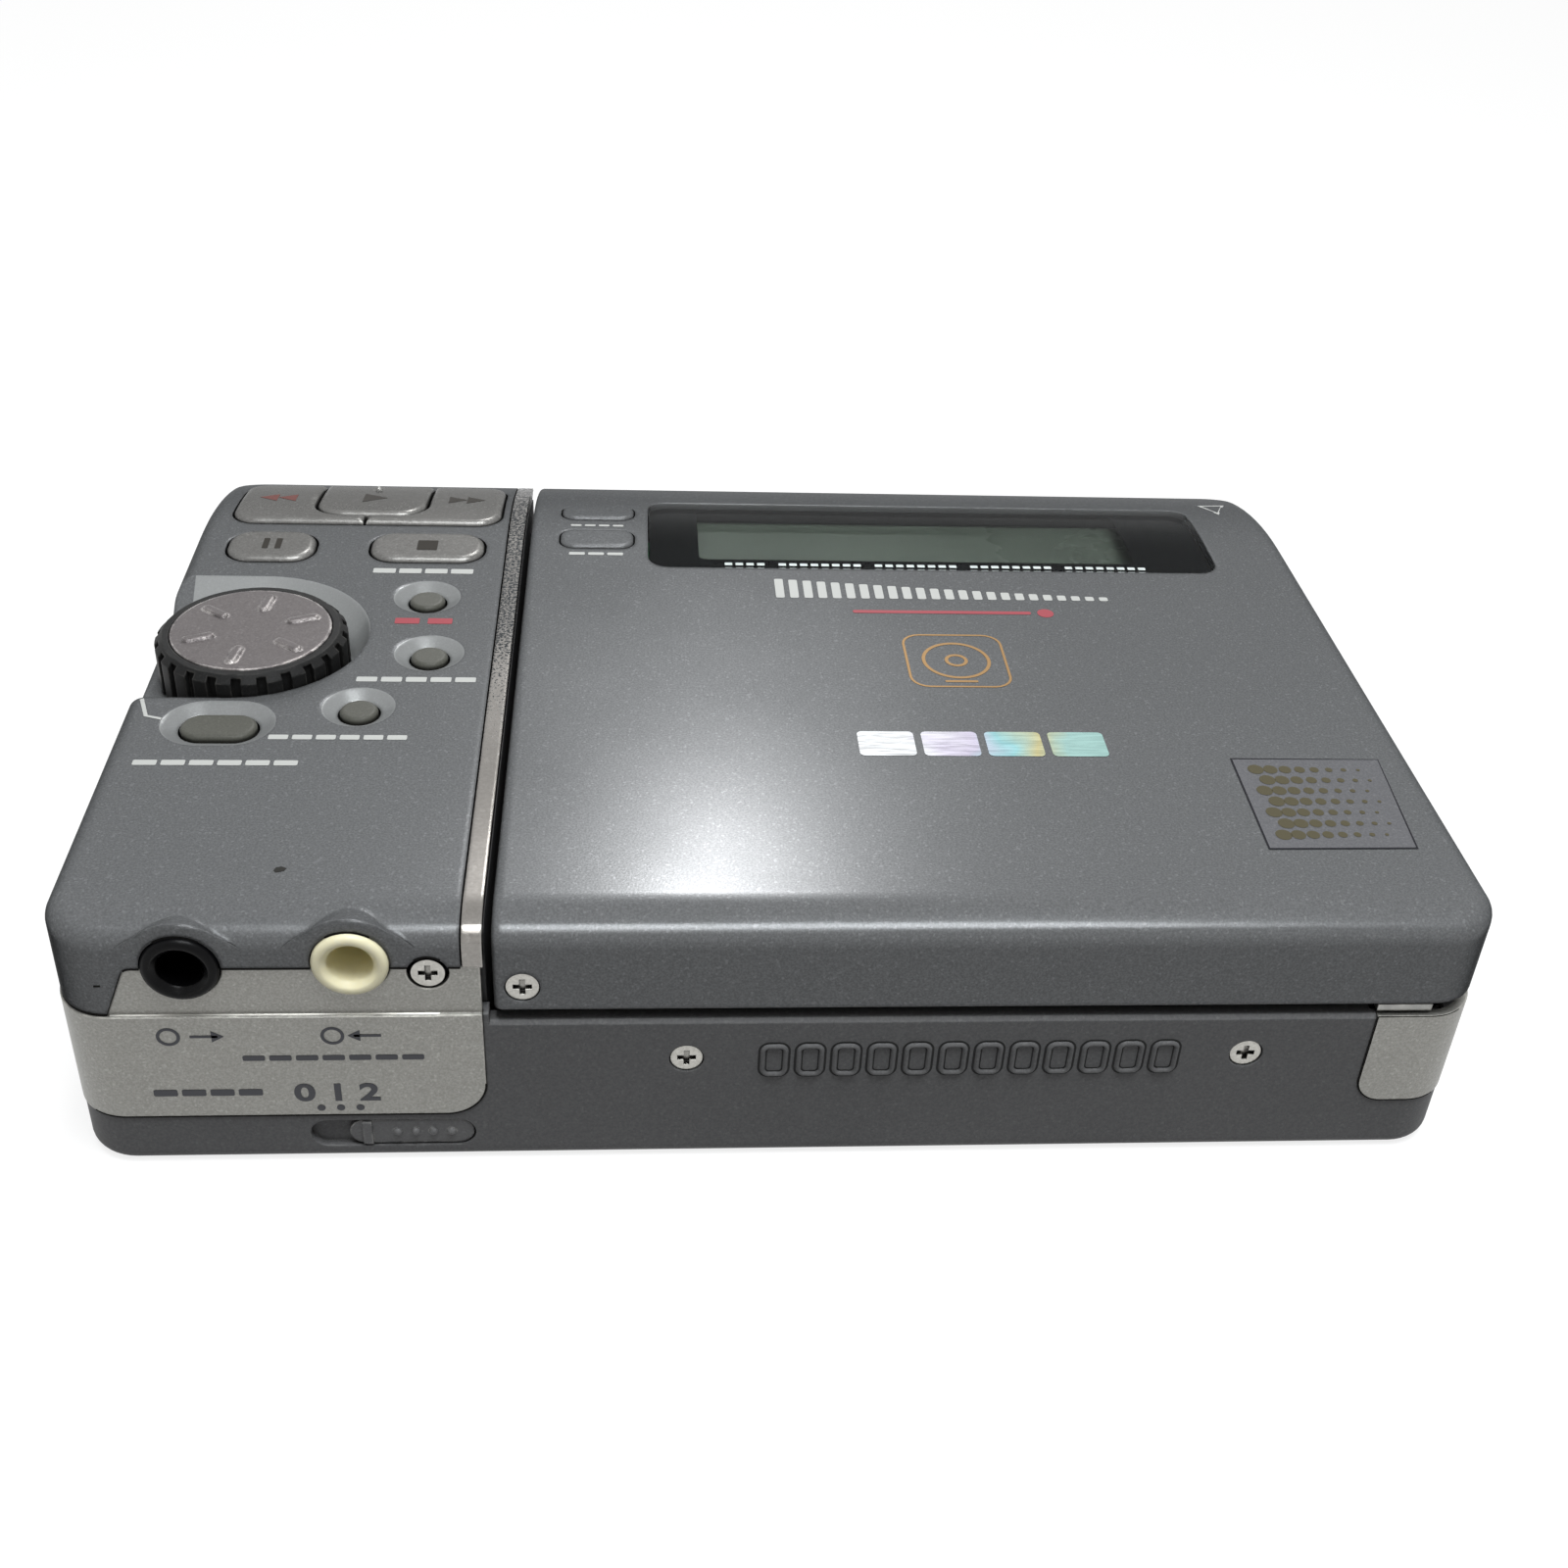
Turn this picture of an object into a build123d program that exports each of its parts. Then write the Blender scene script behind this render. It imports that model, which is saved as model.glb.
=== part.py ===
from build123d import *
import math
import os

# A pocket disc recorder. Sizes are in millimetres. While it is modelled, X runs from the left side
# face, Y from the back face that carries the sockets, and Z from the underside. save() then moves
# every part so that the origin is the middle of the bounding box's underside.

# Case
WIDTH = 118.0
DEPTH = 86.0
HEIGHT = 25.6
CORNER_R = 4.5
EDGE_R = 1.8
FOOT_R = 1.4
LID_SEAM = 16.7
GROOVE = 1.1
SHELL = 1.2
BASE_WALL = 1.5
FLOOR = 1.2
BACK_R = 8.0
BACK_RUN = 4.3
FRONT_R = 50.0
FRONT_RUN = 19.5
COLUMN_WIDTH = 32.6
TRIM_WIDTH = 1.6
TRIM_GAP = 0.15
LID_GAP = 0.7
SEAM_GAP = 0.2
SEAM_BEVEL = 0.3
FIT = 0.1
PLAY = 0.15
RUNNING = 0.05

# Disc bay and drive
DISC_THICK = 5.4
BAY_SIDE = 7.175
BAY_END = 7.0
SHEET = 0.5
BAY_CLEAR = 0.6
BAY_BACK = 7.0
HOLDER_DROP = 0.9
TURNTABLE_R = 8.0
HUB_R = 4.0
SPINDLE_R = 1.0
MOTOR_R = 11.0
MOTOR_T = 2.0
DECK_Z = 5.5
DECK_T = 0.8
BOARD_Z = 2.2
BOARD_T = 1.0
CHIP_T = 1.2
ROD_R = 0.75
ROD_SPREAD = 14.0
SLED_START = 11.8
SLED_LENGTH = 7.5
SLED_STOP = 4.1
SLED_MOTOR_SIZE = (10.0, 6.0)
SLED_T = 2.6
LENS_R = 1.8
SCREW_R = 1.0
SCREW_PITCH = 2.0

# Lid hinge
HINGE_Y = 1.8
HINGE_UP = 1.25
KNUCKLE_R = 1.15
PIN_R = 0.5
EAR_T = 1.4
LEFT_HINGE_X = 42.6
RIGHT_HINGE_X = WIDTH - 9.2
LID_EAR = 3.4
BLOCK_LENGTH = 4.7

# Battery
BATTERY_THICK = 10.8
BATTERY_ROOM = 5.6
BATTERY_BACK = 15.0
BATTERY_FRONT = 11.0
DOOR_T = 1.4
DOOR_HINGE_R = 1.1
DOOR_HINGE_Z = 2.9
DOOR_TOP = 14.4

# Sockets and the plate around them
JACK_R = 3.05
JACK_BORE_R = 1.85
JACK_BODY_R = 2.6
JACK_LENGTH = 13.0
JACK_PROUD = 0.5
OUTPUT_X = 10.85
OUTPUT_Z = 21.5
INPUT_X = COLUMN_WIDTH - 8.6
INPUT_Z = 21.9
BULGE_R = 4.4
BULGE_RUN = 6.0
BULGE_TAPER = 2.0
SKIRT_R = 7.0
SKIRT_DROP = 3.1
SKIRT_TAPER = 3.0
PLATE_T = 0.8
PLATE_PROUD = 0.12
PLATE_BACK = 0.2
PLATE_Z = 5.5
PLATE_TOP = 21.35
PLATE_STEP_X = 4.5
PLATE_LEAN = 1.9
PLATE_TOP_R = 0.9
PLATE_SHORT = 0.3
PLATE_WRAP = 10.0
PLATE_NICK_R = 3.4
COVER_NICK = 0.35
CORNER_NICK_R = 2.4
CORNER_PLATE_X = WIDTH - 9.1
CORNER_PLATE_Z = 5.9

FRONT_JACKS_X = (8.0, 17.0)
FRONT_JACK_Z = 8.2
FRONT_JACK_LENGTH = 9.0
DC_X = 26.0
DC_R = 3.0
DC_BORE_R = 2.1
DC_PIN_R = 0.7
DC_DEEP = 8.0

# Dial
DIAL_X = 9.9
DIAL_Y = DEPTH - 43.6
DIAL_R = 8.95
DIAL_EDGE = 0.7
DIAL_CAP_R = 7.5
DIAL_CAP_PROUD = 0.1
DIAL_TOP = 27.5
DIAL_T = 4.6
ENCODER_R = 5.0
DIAL_NOTCHES = 24
NOTCH_WIDTH = 0.9
NOTCH_DEEP = 0.6
NOTCH_TOP = 0.3
DIAL_BARS = 6
DIAL_BAR = (3.1, 1.0)
DIAL_BAR_R = 4.95
DIAL_BAR_PROUD = 0.25
DIAL_BAR_EDGE = 0.2
POCKET_X = 8.9
POCKET_Y = DEPTH - 41.1
POCKET_R = 11.7
DIAL_LIFT = 0.4
POCKET_FLOOR = DIAL_TOP - DIAL_T - DIAL_LIFT

# Keys: each is ((left, right), (back, front)) or a centre
PAUSE = ((3.9, 12.9), (DEPTH - 26.4, DEPTH - 20.1))
STOP = ((18.6, 30.4), (DEPTH - 26.2, DEPTH - 20.1))
CLUSTER_X = (3.1, 31.7)
CLUSTER_Y = (DEPTH - 17.7, DEPTH - 4.9)
CLUSTER_R = 2.6
KEY_SPLIT = 17.25
PLAY_X = (11.6, 23.4)
PLAY_BACK = DEPTH - 15.6
PLAY_KEY_R = 3.0
PLAY_CENTRE = (17.5, DEPTH - 10.6)
REWIND_CENTRE = (7.2, DEPTH - 11.4)
FORWARD_CENTRE = (27.6, DEPTH - 11.4)
ERASE = (25.4, DEPTH - 33.5)
END_SEARCH = (26.6, DEPTH - 44.5)
TRACK_MARK = (21.1, DEPTH - 54.2)
TITLE = (9.0, DEPTH - 57.0)
TITLE_CAP = (6.8, 3.9)
TITLE_DIMPLE = (10.2, 7.4)
LID_KEY_X = 42.2
LID_KEY_Y = (DEPTH - 20.5, DEPTH - 13.6)
LID_KEY_SIZE = (7.8, 4.0)
LID_KEY_PROUD = 0.25
LID_KEY_EDGE_R = 0.35
LID_KEY_TRAVEL = 0.3
KEY_R = 2.6
KEY_EDGE_R = 0.6
KEY_STEM_R = 1.1
KEY_PROUD = 0.45
KEY_TRAVEL = 0.5
KEY_GAP = 0.22
KEY_LIP = 0.7
KEY_LIP_T = 0.8
LIP_SHORT = 2.0
LIP_END = CLUSTER_Y[1] - 1.1
SWITCH_T = 1.6
SWITCH_SIDE = 3.4
CONTROL_BOARD_Z = 18.4
CONTROL_BOARD_FRONT = DEPTH - 5.0
CAP_R = 1.75
DIMPLE_R = 3.35
DIMPLE_DEEP = 0.8
CAP_SUNK = 0.25

# Slide switches
SLIDE_Z = 3.25
SLIDE_SLOT_H = 3.0
SLIDE_SLOT_DEEP = 0.7
STEM_SLOT = (6.5, 1.4)
KNOB_SUNK = 0.15
BASS_SLOT_X = (COLUMN_WIDTH - 13.4, COLUMN_WIDTH + 0.4)
BASS_KNOB_L = 10.4
BASS_TRAVEL = 3.2
SLIDER_KNOB_L = 8.0
SLIDER_TRAVEL = 3.0
OPEN_X = WIDTH - 41.5
SLIDER_APART = 21.5
RECORD_X = OPEN_X - SLIDER_APART
HOLD_X = OPEN_X + SLIDER_APART
OPEN_Z = 11.0
OPEN_TRAVEL = 4.0
OPEN_LENGTH = 16.0
OPEN_HEIGHT = 5.0
LATCH_T = 0.8

# Screws
HEAD_R = 1.35
HEAD_T = 0.7
SHANK_R = HEAD_R * 0.45
CROSS_LENGTH = HEAD_R * 1.15
CROSS_WIDTH = 0.48
CROSS_DEEP = 0.45
SINK = 0.15
COVER_SINK = 0.1
HINGE_SCREW_X = (50.7, WIDTH - 19.7)
HINGE_SCREW_Z = 11.4
LID_SCREW_IN = 2.35
LID_SCREW_Z = 19.3
COVER_SCREW_X = COLUMN_WIDTH - 2.6
COVER_SCREW_Z = 20.8
BOTTOM_SCREWS = [(38.0, 9.5), (WIDTH - 5.0, 9.5), (38.0, DEPTH - 6.0), (WIDTH - 5.0, DEPTH - 6.0)]
BOTTOM_BOSS_R = 2.2
HINGE_BOSS_R = 2.4
HINGE_BOSS_T = 1.6
BRACKET_T = 0.8

# Lid
LID_EDGE_R = 0.7
SKIRT_THIN = 0.45
FRAME_UP = 0.5
FRAME_T = 0.8
LID_EAR_R = 0.95

# Window and display
WINDOW_X = (47.7, WIDTH - 9.0)
WINDOW_Y = (DEPTH - 26.5, DEPTH - 9.6)
WINDOW_T = 1.0
WINDOW_R = 2.2
PANEL_X = (51.5, WIDTH - 15.5)
PANEL_Y = (DEPTH - 26.0, DEPTH - 10.0)
PANEL_T = 1.8
PANEL_TOP = 22.2

# Worked out from the sizes above
LID_LEFT = COLUMN_WIDTH + TRIM_GAP + TRIM_WIDTH + LID_GAP
LID_SCREW_X = LID_LEFT + LID_SCREW_IN
BASE_TOP = LID_SEAM - GROOVE
COLUMN_TOP = LID_SEAM - SEAM_GAP
HINGE_Z = LID_SEAM + HINGE_UP
DISC_X = (LID_LEFT + WIDTH) / 2
DISC_WIDTH = WIDTH - LID_LEFT - 2 * BAY_SIDE
DISC_LENGTH = DEPTH - BAY_BACK - BAY_END
SPINDLE_Y = BAY_BACK + DISC_LENGTH / 2
BATTERY_WIDTH = COLUMN_WIDTH - BATTERY_ROOM
BATTERY_LENGTH = DEPTH - BATTERY_BACK - BATTERY_FRONT
HOLDER_TOP = LID_SEAM - HOLDER_DROP
HOLDER_BOTTOM = HOLDER_TOP - DISC_THICK - 2 * SHEET
HOLDER_X = (DISC_X - DISC_WIDTH / 2 - SHEET, DISC_X + DISC_WIDTH / 2 + SHEET)
BAY_X = (HOLDER_X[0] - BAY_CLEAR, HOLDER_X[1] + BAY_CLEAR)
BAY_FRONT = BAY_BACK + DISC_LENGTH
DECK_TOP = DECK_Z + DECK_T
FRAME_BACK = BAY_BACK - 2.0
WALL_X = (COLUMN_WIDTH + 0.4, COLUMN_WIDTH + TRIM_WIDTH + 0.2)
PLATE_RIGHT = WALL_X[1] - PLATE_SHORT
CONTROL_TOP = CONTROL_BOARD_Z + BOARD_T
SLED_X = DISC_X + SLED_START
SLED_TRAVEL = BAY_X[1] - SLED_STOP - SLED_X - SLED_LENGTH
BATTERY_X = BASE_WALL + 0.9
SHELF_Z = BOARD_Z + BATTERY_THICK + 0.4
SHELF_T = 1.0
DOOR_Y = (BATTERY_BACK - 1.0, BATTERY_BACK + BATTERY_LENGTH + 1.0)
FRONT_START = DEPTH - FRONT_RUN
RAIL_Z = DECK_TOP + 1.35
RAIL_Y = (SPINDLE_Y - ROD_SPREAD, SPINDLE_Y + ROD_SPREAD)
LEAD_Y = RAIL_Y[1] + 4.5
LEAD_Z = DECK_TOP + 1.5
LEAD_X = (DISC_X + 9.0, BAY_X[1] - 3.0)
SADDLE_X = (LEAD_X[0], BAY_X[1] - 2.5)
SCREW_CORE_R = SCREW_R * 0.75
SCREW_END_R = SCREW_R * 0.6
LEFT_EAR_X = (LEFT_HINGE_X, LEFT_HINGE_X + EAR_T)
RIGHT_EAR_X = (RIGHT_HINGE_X - PLAY - EAR_T, RIGHT_HINGE_X - PLAY)
LEFT_LID_EAR_X = (LEFT_EAR_X[0] - PLAY - LID_EAR, LEFT_EAR_X[0] - PLAY)
RIGHT_LID_EAR_X = (RIGHT_HINGE_X, RIGHT_HINGE_X + BLOCK_LENGTH)
PANEL_BOTTOM = PANEL_TOP - PANEL_T
LCD_BOARD_Z = (PANEL_BOTTOM - BOARD_T, PANEL_BOTTOM)
LATCH_Y = (DEPTH - BASE_WALL - 2.0, DEPTH - BASE_WALL - 2.0 + LATCH_T)
DIMPLE_BOTTOM = HEIGHT - DIMPLE_DEEP - SHELL
BASS_MIDDLE = (BASS_SLOT_X[0] + BASS_SLOT_X[1]) / 2


# ---------------------------------------------------------------- helpers

def block(x, y, z):
    """Box between two values on each axis."""
    size = [b - a for a, b in (x, y, z)]
    centre = [(a + b) / 2 for a, b in (x, y, z)]
    return Pos(*centre) * Box(*size)


def rod_x(y, z, radius, x):
    return Pos((x[0] + x[1]) / 2, y, z) * Rot(0, 90, 0) * Cylinder(radius, x[1] - x[0])


def rod_y(x, z, radius, y):
    return Pos(x, (y[0] + y[1]) / 2, z) * Rot(90, 0, 0) * Cylinder(radius, y[1] - y[0])


def rod_z(x, y, radius, z):
    return Pos(x, y, (z[0] + z[1]) / 2) * Cylinder(radius, z[1] - z[0])


def prism(outline, z):
    """Extrude a flat outline between two heights."""
    return Pos(0, 0, z[0]) * extrude(outline, z[1] - z[0])


def soft_box(x, y, radius):
    """Rounded rectangle between two values on each axis."""
    return Pos(*middle(x, y)) * RectangleRounded(x[1] - x[0], y[1] - y[0], radius)


def shrink(pair, amount):
    """Two values moved towards each other by amount."""
    return (pair[0] + amount, pair[1] - amount)


def middle(x, y):
    """Point halfway between two values on each axis."""
    return ((x[0] + x[1]) / 2, (y[0] + y[1]) / 2)


def save(part, name):
    """Centre the part on the underside and write it."""
    moved = Pos(-WIDTH / 2, -(DEPTH - JACK_PROUD) / 2, 0) * part
    moved.label = name
    export_step(Compound(children=list(moved.solids())), "parts/" + name + ".step")


# ---------------------------------------------------------------- the form of the case

def plan(inset):
    """Rounded outline of the case, seen from above."""
    return soft_box((inset, WIDTH - inset), (inset, DEPTH - inset), CORNER_R - inset)


def under_skin(inset):
    """All that lies under the top surface: flat, eased at the back and bowed down at the front."""
    turn = math.radians(40)
    half = turn / 2
    back_y = BACK_RUN
    back_z = HEIGHT - BACK_R
    front_z = HEIGHT - FRONT_R
    back_r = BACK_R - inset
    front_r = FRONT_R - inset
    a = (back_y - back_r * math.sin(turn), back_z + back_r * math.cos(turn))
    b = (back_y - back_r * math.sin(half), back_z + back_r * math.cos(half))
    c = (back_y, HEIGHT - inset)
    d = (FRONT_START, HEIGHT - inset)
    e = (FRONT_START + front_r * math.sin(half), front_z + front_r * math.cos(half))
    f = (FRONT_START + front_r * math.sin(turn), front_z + front_r * math.cos(turn))
    low_f = (f[0], -10)
    low_a = (a[0], -10)
    top = ThreePointArc(a, b, c) + Line(c, d) + ThreePointArc(d, e, f)
    sides = Line(f, low_f) + Line(low_f, low_a) + Line(low_a, a)
    return Pos(-10, 0, 0) * extrude(Plane.YZ * make_face(top + sides), WIDTH + 20)


def form(inset, bottom=0.0):
    """The case's outer form moved inwards by inset, with square edges."""
    return prism(plan(inset), (bottom, HEIGHT + 5)) & under_skin(inset)


def eased_form(bottom):
    """The outer form with its top edge rounded all round."""
    solid = form(0, bottom)
    rim = []
    for edge in solid.edges():
        box = edge.bounding_box()
        upright = box.size.X < 0.01 and box.size.Y < 0.01
        low = box.max.Z < bottom + 0.01
        middle_y = edge.center().Y
        seam = abs(middle_y - BACK_RUN) < 0.01 or abs(middle_y - FRONT_START) < 0.01
        if not (upright or low or (seam and box.size.X > 10)):
            rim.append(edge)
    return fillet(rim, EDGE_R)


CASE_TOP = eased_form(10.0)


def skin(x, bottom, thickness):
    """A slice of the case's top shell between two widths, open below."""
    outer = CASE_TOP & block(x, (-5, DEPTH + 5), (bottom, HEIGHT + 5))
    return outer - (form(thickness, 0) & block(x, (-5, DEPTH + 5), (-5, HEIGHT + 5)))


# ---------------------------------------------------------------- fasteners

def screw(length):
    """Small cross-head screw that points up, with its head's face at the origin."""
    head = rod_z(0, 0, HEAD_R, (0, HEAD_T))
    shank = rod_z(0, 0, SHANK_R, (HEAD_T, length))
    slot = Box(CROSS_LENGTH, CROSS_WIDTH, 2 * CROSS_DEEP)
    cross = Box(CROSS_WIDTH, CROSS_LENGTH, 2 * CROSS_DEEP)
    return head + shank - slot - cross


def screw_y(x, z, y, length):
    """Screw whose head faces the back."""
    return Pos(x, y, z) * Rot(-90, 0, 0) * screw(length)


def screw_z(x, y, z, length):
    """Screw driven upwards from the underside."""
    return Pos(x, y, z) * screw(length)


def case_screws():
    """Two hinge screws in the back face and four screws in the underside."""
    screws = [screw_y(x, HINGE_SCREW_Z, SINK, 4.0) for x in HINGE_SCREW_X]
    screws += [screw_z(x, y, SINK, 5.0) for x, y in BOTTOM_SCREWS]
    return Compound(children=screws)


def cover_screw():
    return screw_y(COVER_SCREW_X, COVER_SCREW_Z, COVER_SINK, 5.0)


def lid_screw():
    return screw_y(LID_SCREW_X, LID_SCREW_Z, COVER_SINK, 3.6)


# ---------------------------------------------------------------- base

def plate_upper(grow):
    """Upper part of the space for the socket plate: its left end leans and has a round corner."""
    right = PLATE_RIGHT + grow
    top = PLATE_TOP + grow
    left = PLATE_STEP_X - grow
    lean = left + PLATE_LEAN
    sides = Polygon((left, COLUMN_TOP), (right, COLUMN_TOP), (right, top), (lean, top), align=None)
    corner = sides.vertices().sort_by_distance((lean, top))[0]
    outline = fillet(corner, PLATE_TOP_R + grow)
    return Pos(0, 2, 0) * extrude(Plane.XZ * outline, 7)


def jack_plate_outline_cut(grow):
    """Space taken by the plate around the sockets, grown all round by a clearance."""
    right = PLATE_RIGHT + grow
    bottom = PLATE_Z - grow
    low = block((-5, right), (-5, PLATE_WRAP + grow), (bottom, COLUMN_TOP + grow))
    nick = block((right - PLATE_NICK_R, right + 1), (-6, 12), (bottom - 1, bottom + PLATE_NICK_R))
    nick -= rod_y(right - PLATE_NICK_R, bottom + PLATE_NICK_R, PLATE_NICK_R, (-7, 13))
    return (low - nick) + plate_upper(grow)


def plate_shell(outer, inner, z):
    """A ring wall that follows the case's plan."""
    return prism(plan(outer), z) - prism(plan(inner), (z[0] - 1, z[1] + 1))


def socket_holes(grow, y):
    holes = rod_y(OUTPUT_X, OUTPUT_Z, JACK_R + grow, y)
    return holes + rod_y(INPUT_X, INPUT_Z, JACK_R + grow, y)


def jack_plate():
    """Sheet-metal plate that wraps the back left corner; a fold sets its upper part back."""
    inner = PLATE_T - PLATE_PROUD
    sheet = plate_shell(-PLATE_PROUD, inner, (PLATE_Z, COLUMN_TOP))
    sheet += plate_shell(PLATE_BACK, inner, (COLUMN_TOP - 0.3, PLATE_TOP))
    plate = sheet & jack_plate_outline_cut(0)
    plate -= socket_holes(FIT, (-3, 3))
    return plate - rod_y(COVER_SCREW_X, COVER_SCREW_Z, HEAD_R + COVER_NICK, (-3, 3))


def corner_plate():
    """Sheet-metal plate on the back right corner, folded over the base's edge."""
    sheet = plate_shell(-PLATE_PROUD, PLATE_T - PLATE_PROUD, (CORNER_PLATE_Z, BASE_TOP))
    return sheet & corner_plate_zone(0)


def corner_plate_zone(grow):
    left = CORNER_PLATE_X - grow
    bottom = CORNER_PLATE_Z - grow
    zone = block((left, WIDTH + 5), (-5, PLATE_WRAP + grow), (bottom, BASE_TOP + 1))
    nick = block((left - 1, left + CORNER_NICK_R), (-6, 12), (bottom - 1, bottom + CORNER_NICK_R))
    nick -= rod_y(left + CORNER_NICK_R, bottom + CORNER_NICK_R, CORNER_NICK_R, (-7, 13))
    return zone - nick


def slot_front(x, z, length, height, y):
    """Rounded slot through a wall, long in X."""
    outline = Pos(x, z) * SlotOverall(length, height)
    return Pos(0, y[1], 0) * extrude(Plane.XZ * outline, y[1] - y[0])


def seam_bevel():
    """What a bevel takes off the tray's upper edge under the lid."""
    low = BASE_TOP - SEAM_BEVEL
    wide = (Pos(0, 0, low) * plan(0)).faces()[0]
    narrow = (Pos(0, 0, BASE_TOP) * plan(SEAM_BEVEL)).faces()[0]
    room = prism(plan(-1), (low, BASE_TOP)) & block((WALL_X[1] + 0.2, WIDTH + 5), (-5, DEPTH + 5), (0, HEIGHT))
    return room - loft([wide, narrow])


def base_shell():
    """Lower shell: a tray with a step between the column and the lid."""
    outer = prism(plan(0), (0, COLUMN_TOP))
    outer = fillet(outer.faces().sort_by(Axis.Z)[0].edges(), FOOT_R)
    tray = outer - prism(plan(BASE_WALL), (FLOOR, COLUMN_TOP + 1))
    tray -= block((WALL_X[1] + 0.2, WIDTH + 1), (-1, DEPTH + 1), (BASE_TOP, COLUMN_TOP + 1))
    tray -= seam_bevel()
    # bosses behind the hinge screws, and under the four corner screws
    for x in HINGE_SCREW_X:
        tray += rod_y(x, HINGE_SCREW_Z, HINGE_BOSS_R, (BASE_WALL - 0.2, BASE_WALL + HINGE_BOSS_T))
        tray -= rod_y(x, HINGE_SCREW_Z, HEAD_R + FIT, (-1, SINK + HEAD_T))
        tray -= rod_y(x, HINGE_SCREW_Z, SHANK_R + FIT, (-1, 5))
    for x, y in BOTTOM_SCREWS:
        tray += rod_z(x, y, BOTTOM_BOSS_R, (FLOOR - 0.1, BOARD_Z))
        tray -= rod_z(x, y, HEAD_R + FIT, (-1, SINK + HEAD_T))
        tray -= rod_z(x, y, SHANK_R + FIT, (-1, BOARD_Z + 1))
    # rails under the battery and bosses under the main board
    for y in (BATTERY_BACK + 8, BATTERY_BACK + BATTERY_LENGTH - 8):
        tray += block((BATTERY_X, BATTERY_X + BATTERY_WIDTH), (y, y + 1.5), (FLOOR - 0.1, BOARD_Z))
    # the metal plates lie flush in the walls
    plate_seat = plate_shell(-1, PLATE_T - PLATE_PROUD, (0, 30)) & jack_plate_outline_cut(FIT / 2)
    tray -= plate_seat
    tray -= plate_shell(-1, PLATE_T - PLATE_PROUD, (0, 30)) & corner_plate_zone(FIT / 2)
    # room for the hinge block to swing into
    well_x = (RIGHT_HINGE_X - 0.3, RIGHT_HINGE_X + BLOCK_LENGTH + 1.5)
    tray -= block(well_x, (PLATE_T, BASE_WALL + 1), (BASE_TOP - 0.5, BASE_TOP + 1))
    # bass switch slot, shallow pocket and then a slot for the knob's stem
    bass_length = BASS_SLOT_X[1] - BASS_SLOT_X[0]
    tray -= slot_front(BASS_MIDDLE, SLIDE_Z, bass_length, SLIDE_SLOT_H, (-1, SLIDE_SLOT_DEEP))
    tray -= slot_front(BASS_MIDDLE, SLIDE_Z, *STEM_SLOT, (-1, BASE_WALL + 1))
    # front face: open slider, record and hold sliders, phone and microphone sockets
    front = DEPTH
    pocket_y = (front - SLIDE_SLOT_DEEP, front + 1)
    through_y = (front - BASE_WALL - 1, front + 1)
    open_x = OPEN_X - OPEN_TRAVEL / 2
    tray -= slot_front(open_x, OPEN_Z, OPEN_LENGTH + OPEN_TRAVEL + 0.5, OPEN_HEIGHT, pocket_y)
    tray -= slot_front(open_x, OPEN_Z, 11.0, 2.4, through_y)
    for x in (RECORD_X, HOLD_X):
        slot_x = x - SLIDER_TRAVEL / 2
        tray -= slot_front(slot_x, OPEN_Z, SLIDER_KNOB_L + SLIDER_TRAVEL + 0.5, SLIDE_SLOT_H, pocket_y)
        tray -= slot_front(slot_x, OPEN_Z, *STEM_SLOT, through_y)
    for x in FRONT_JACKS_X:
        tray -= rod_y(x, FRONT_JACK_Z, JACK_R + FIT, through_y)
    tray -= rod_y(DC_X, FRONT_JACK_Z, DC_R + FIT, through_y)
    # battery opening in the left side
    door_y = (DOOR_Y[0] - PLAY, DOOR_Y[1] + PLAY)
    tray -= block((-1, BASE_WALL + 0.1), door_y, (DOOR_HINGE_Z, DOOR_TOP + PLAY))
    tray -= rod_y(DOOR_HINGE_R, DOOR_HINGE_Z, DOOR_HINGE_R + PLAY, door_y)
    tray -= block((-1, DOOR_HINGE_R), door_y, (DOOR_HINGE_Z - DOOR_HINGE_R - PLAY, DOOR_HINGE_Z))
    peg_y = (DOOR_Y[0] - 1.0, DOOR_Y[1] + 1.0)
    tray -= rod_y(DOOR_HINGE_R, DOOR_HINGE_Z, PIN_R + RUNNING, peg_y)
    return tray


# ---------------------------------------------------------------- inner frames

def side_frame():
    """Moulded frame in the column: battery shelf, tall divider wall and socket cradle."""
    low = BASE_WALL + FIT
    shelf = prism(plan(low), (SHELF_Z, SHELF_Z + SHELF_T))
    shelf &= block((0, WALL_X[1]), (0, DEPTH), (0, HEIGHT))
    wall = form(SHELL + FIT, FLOOR) & block(WALL_X, (low, DEPTH - low), (FLOOR, HEIGHT))
    frame = shelf + wall
    bay_wall = block((BATTERY_X + BATTERY_WIDTH + 1.6, WALL_X[0] + 0.1), (12, 80), (SHELF_Z - 4, SHELF_Z))
    frame += bay_wall
    cradle = block((OUTPUT_X - 4.85, INPUT_X + 4.0), (BASE_WALL + 1.0, 12), (SHELF_Z, OUTPUT_Z - 1.0))
    cradle -= rod_y(OUTPUT_X, OUTPUT_Z, JACK_BODY_R, (0, 20))
    cradle -= rod_y(INPUT_X, INPUT_Z, JACK_BODY_R, (0, 20))
    frame += cradle
    boss = block((COVER_SCREW_X - 2.0, WALL_X[0] + 0.1), (2.2, 7.0), (SHELF_Z, COVER_SCREW_Z + 1.8))
    boss &= form(SHELL + FIT, 0)
    frame += boss
    frame -= rod_y(COVER_SCREW_X, COVER_SCREW_Z, SHANK_R, (0, 5.1))
    for x in (4.5, WALL_X[0] - 2.5):
        for y in (18.5, DEPTH - 6.5):
            frame += rod_z(x, y, 1.3, (SHELF_Z + SHELF_T - 0.1, CONTROL_BOARD_Z))
    return frame


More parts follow.
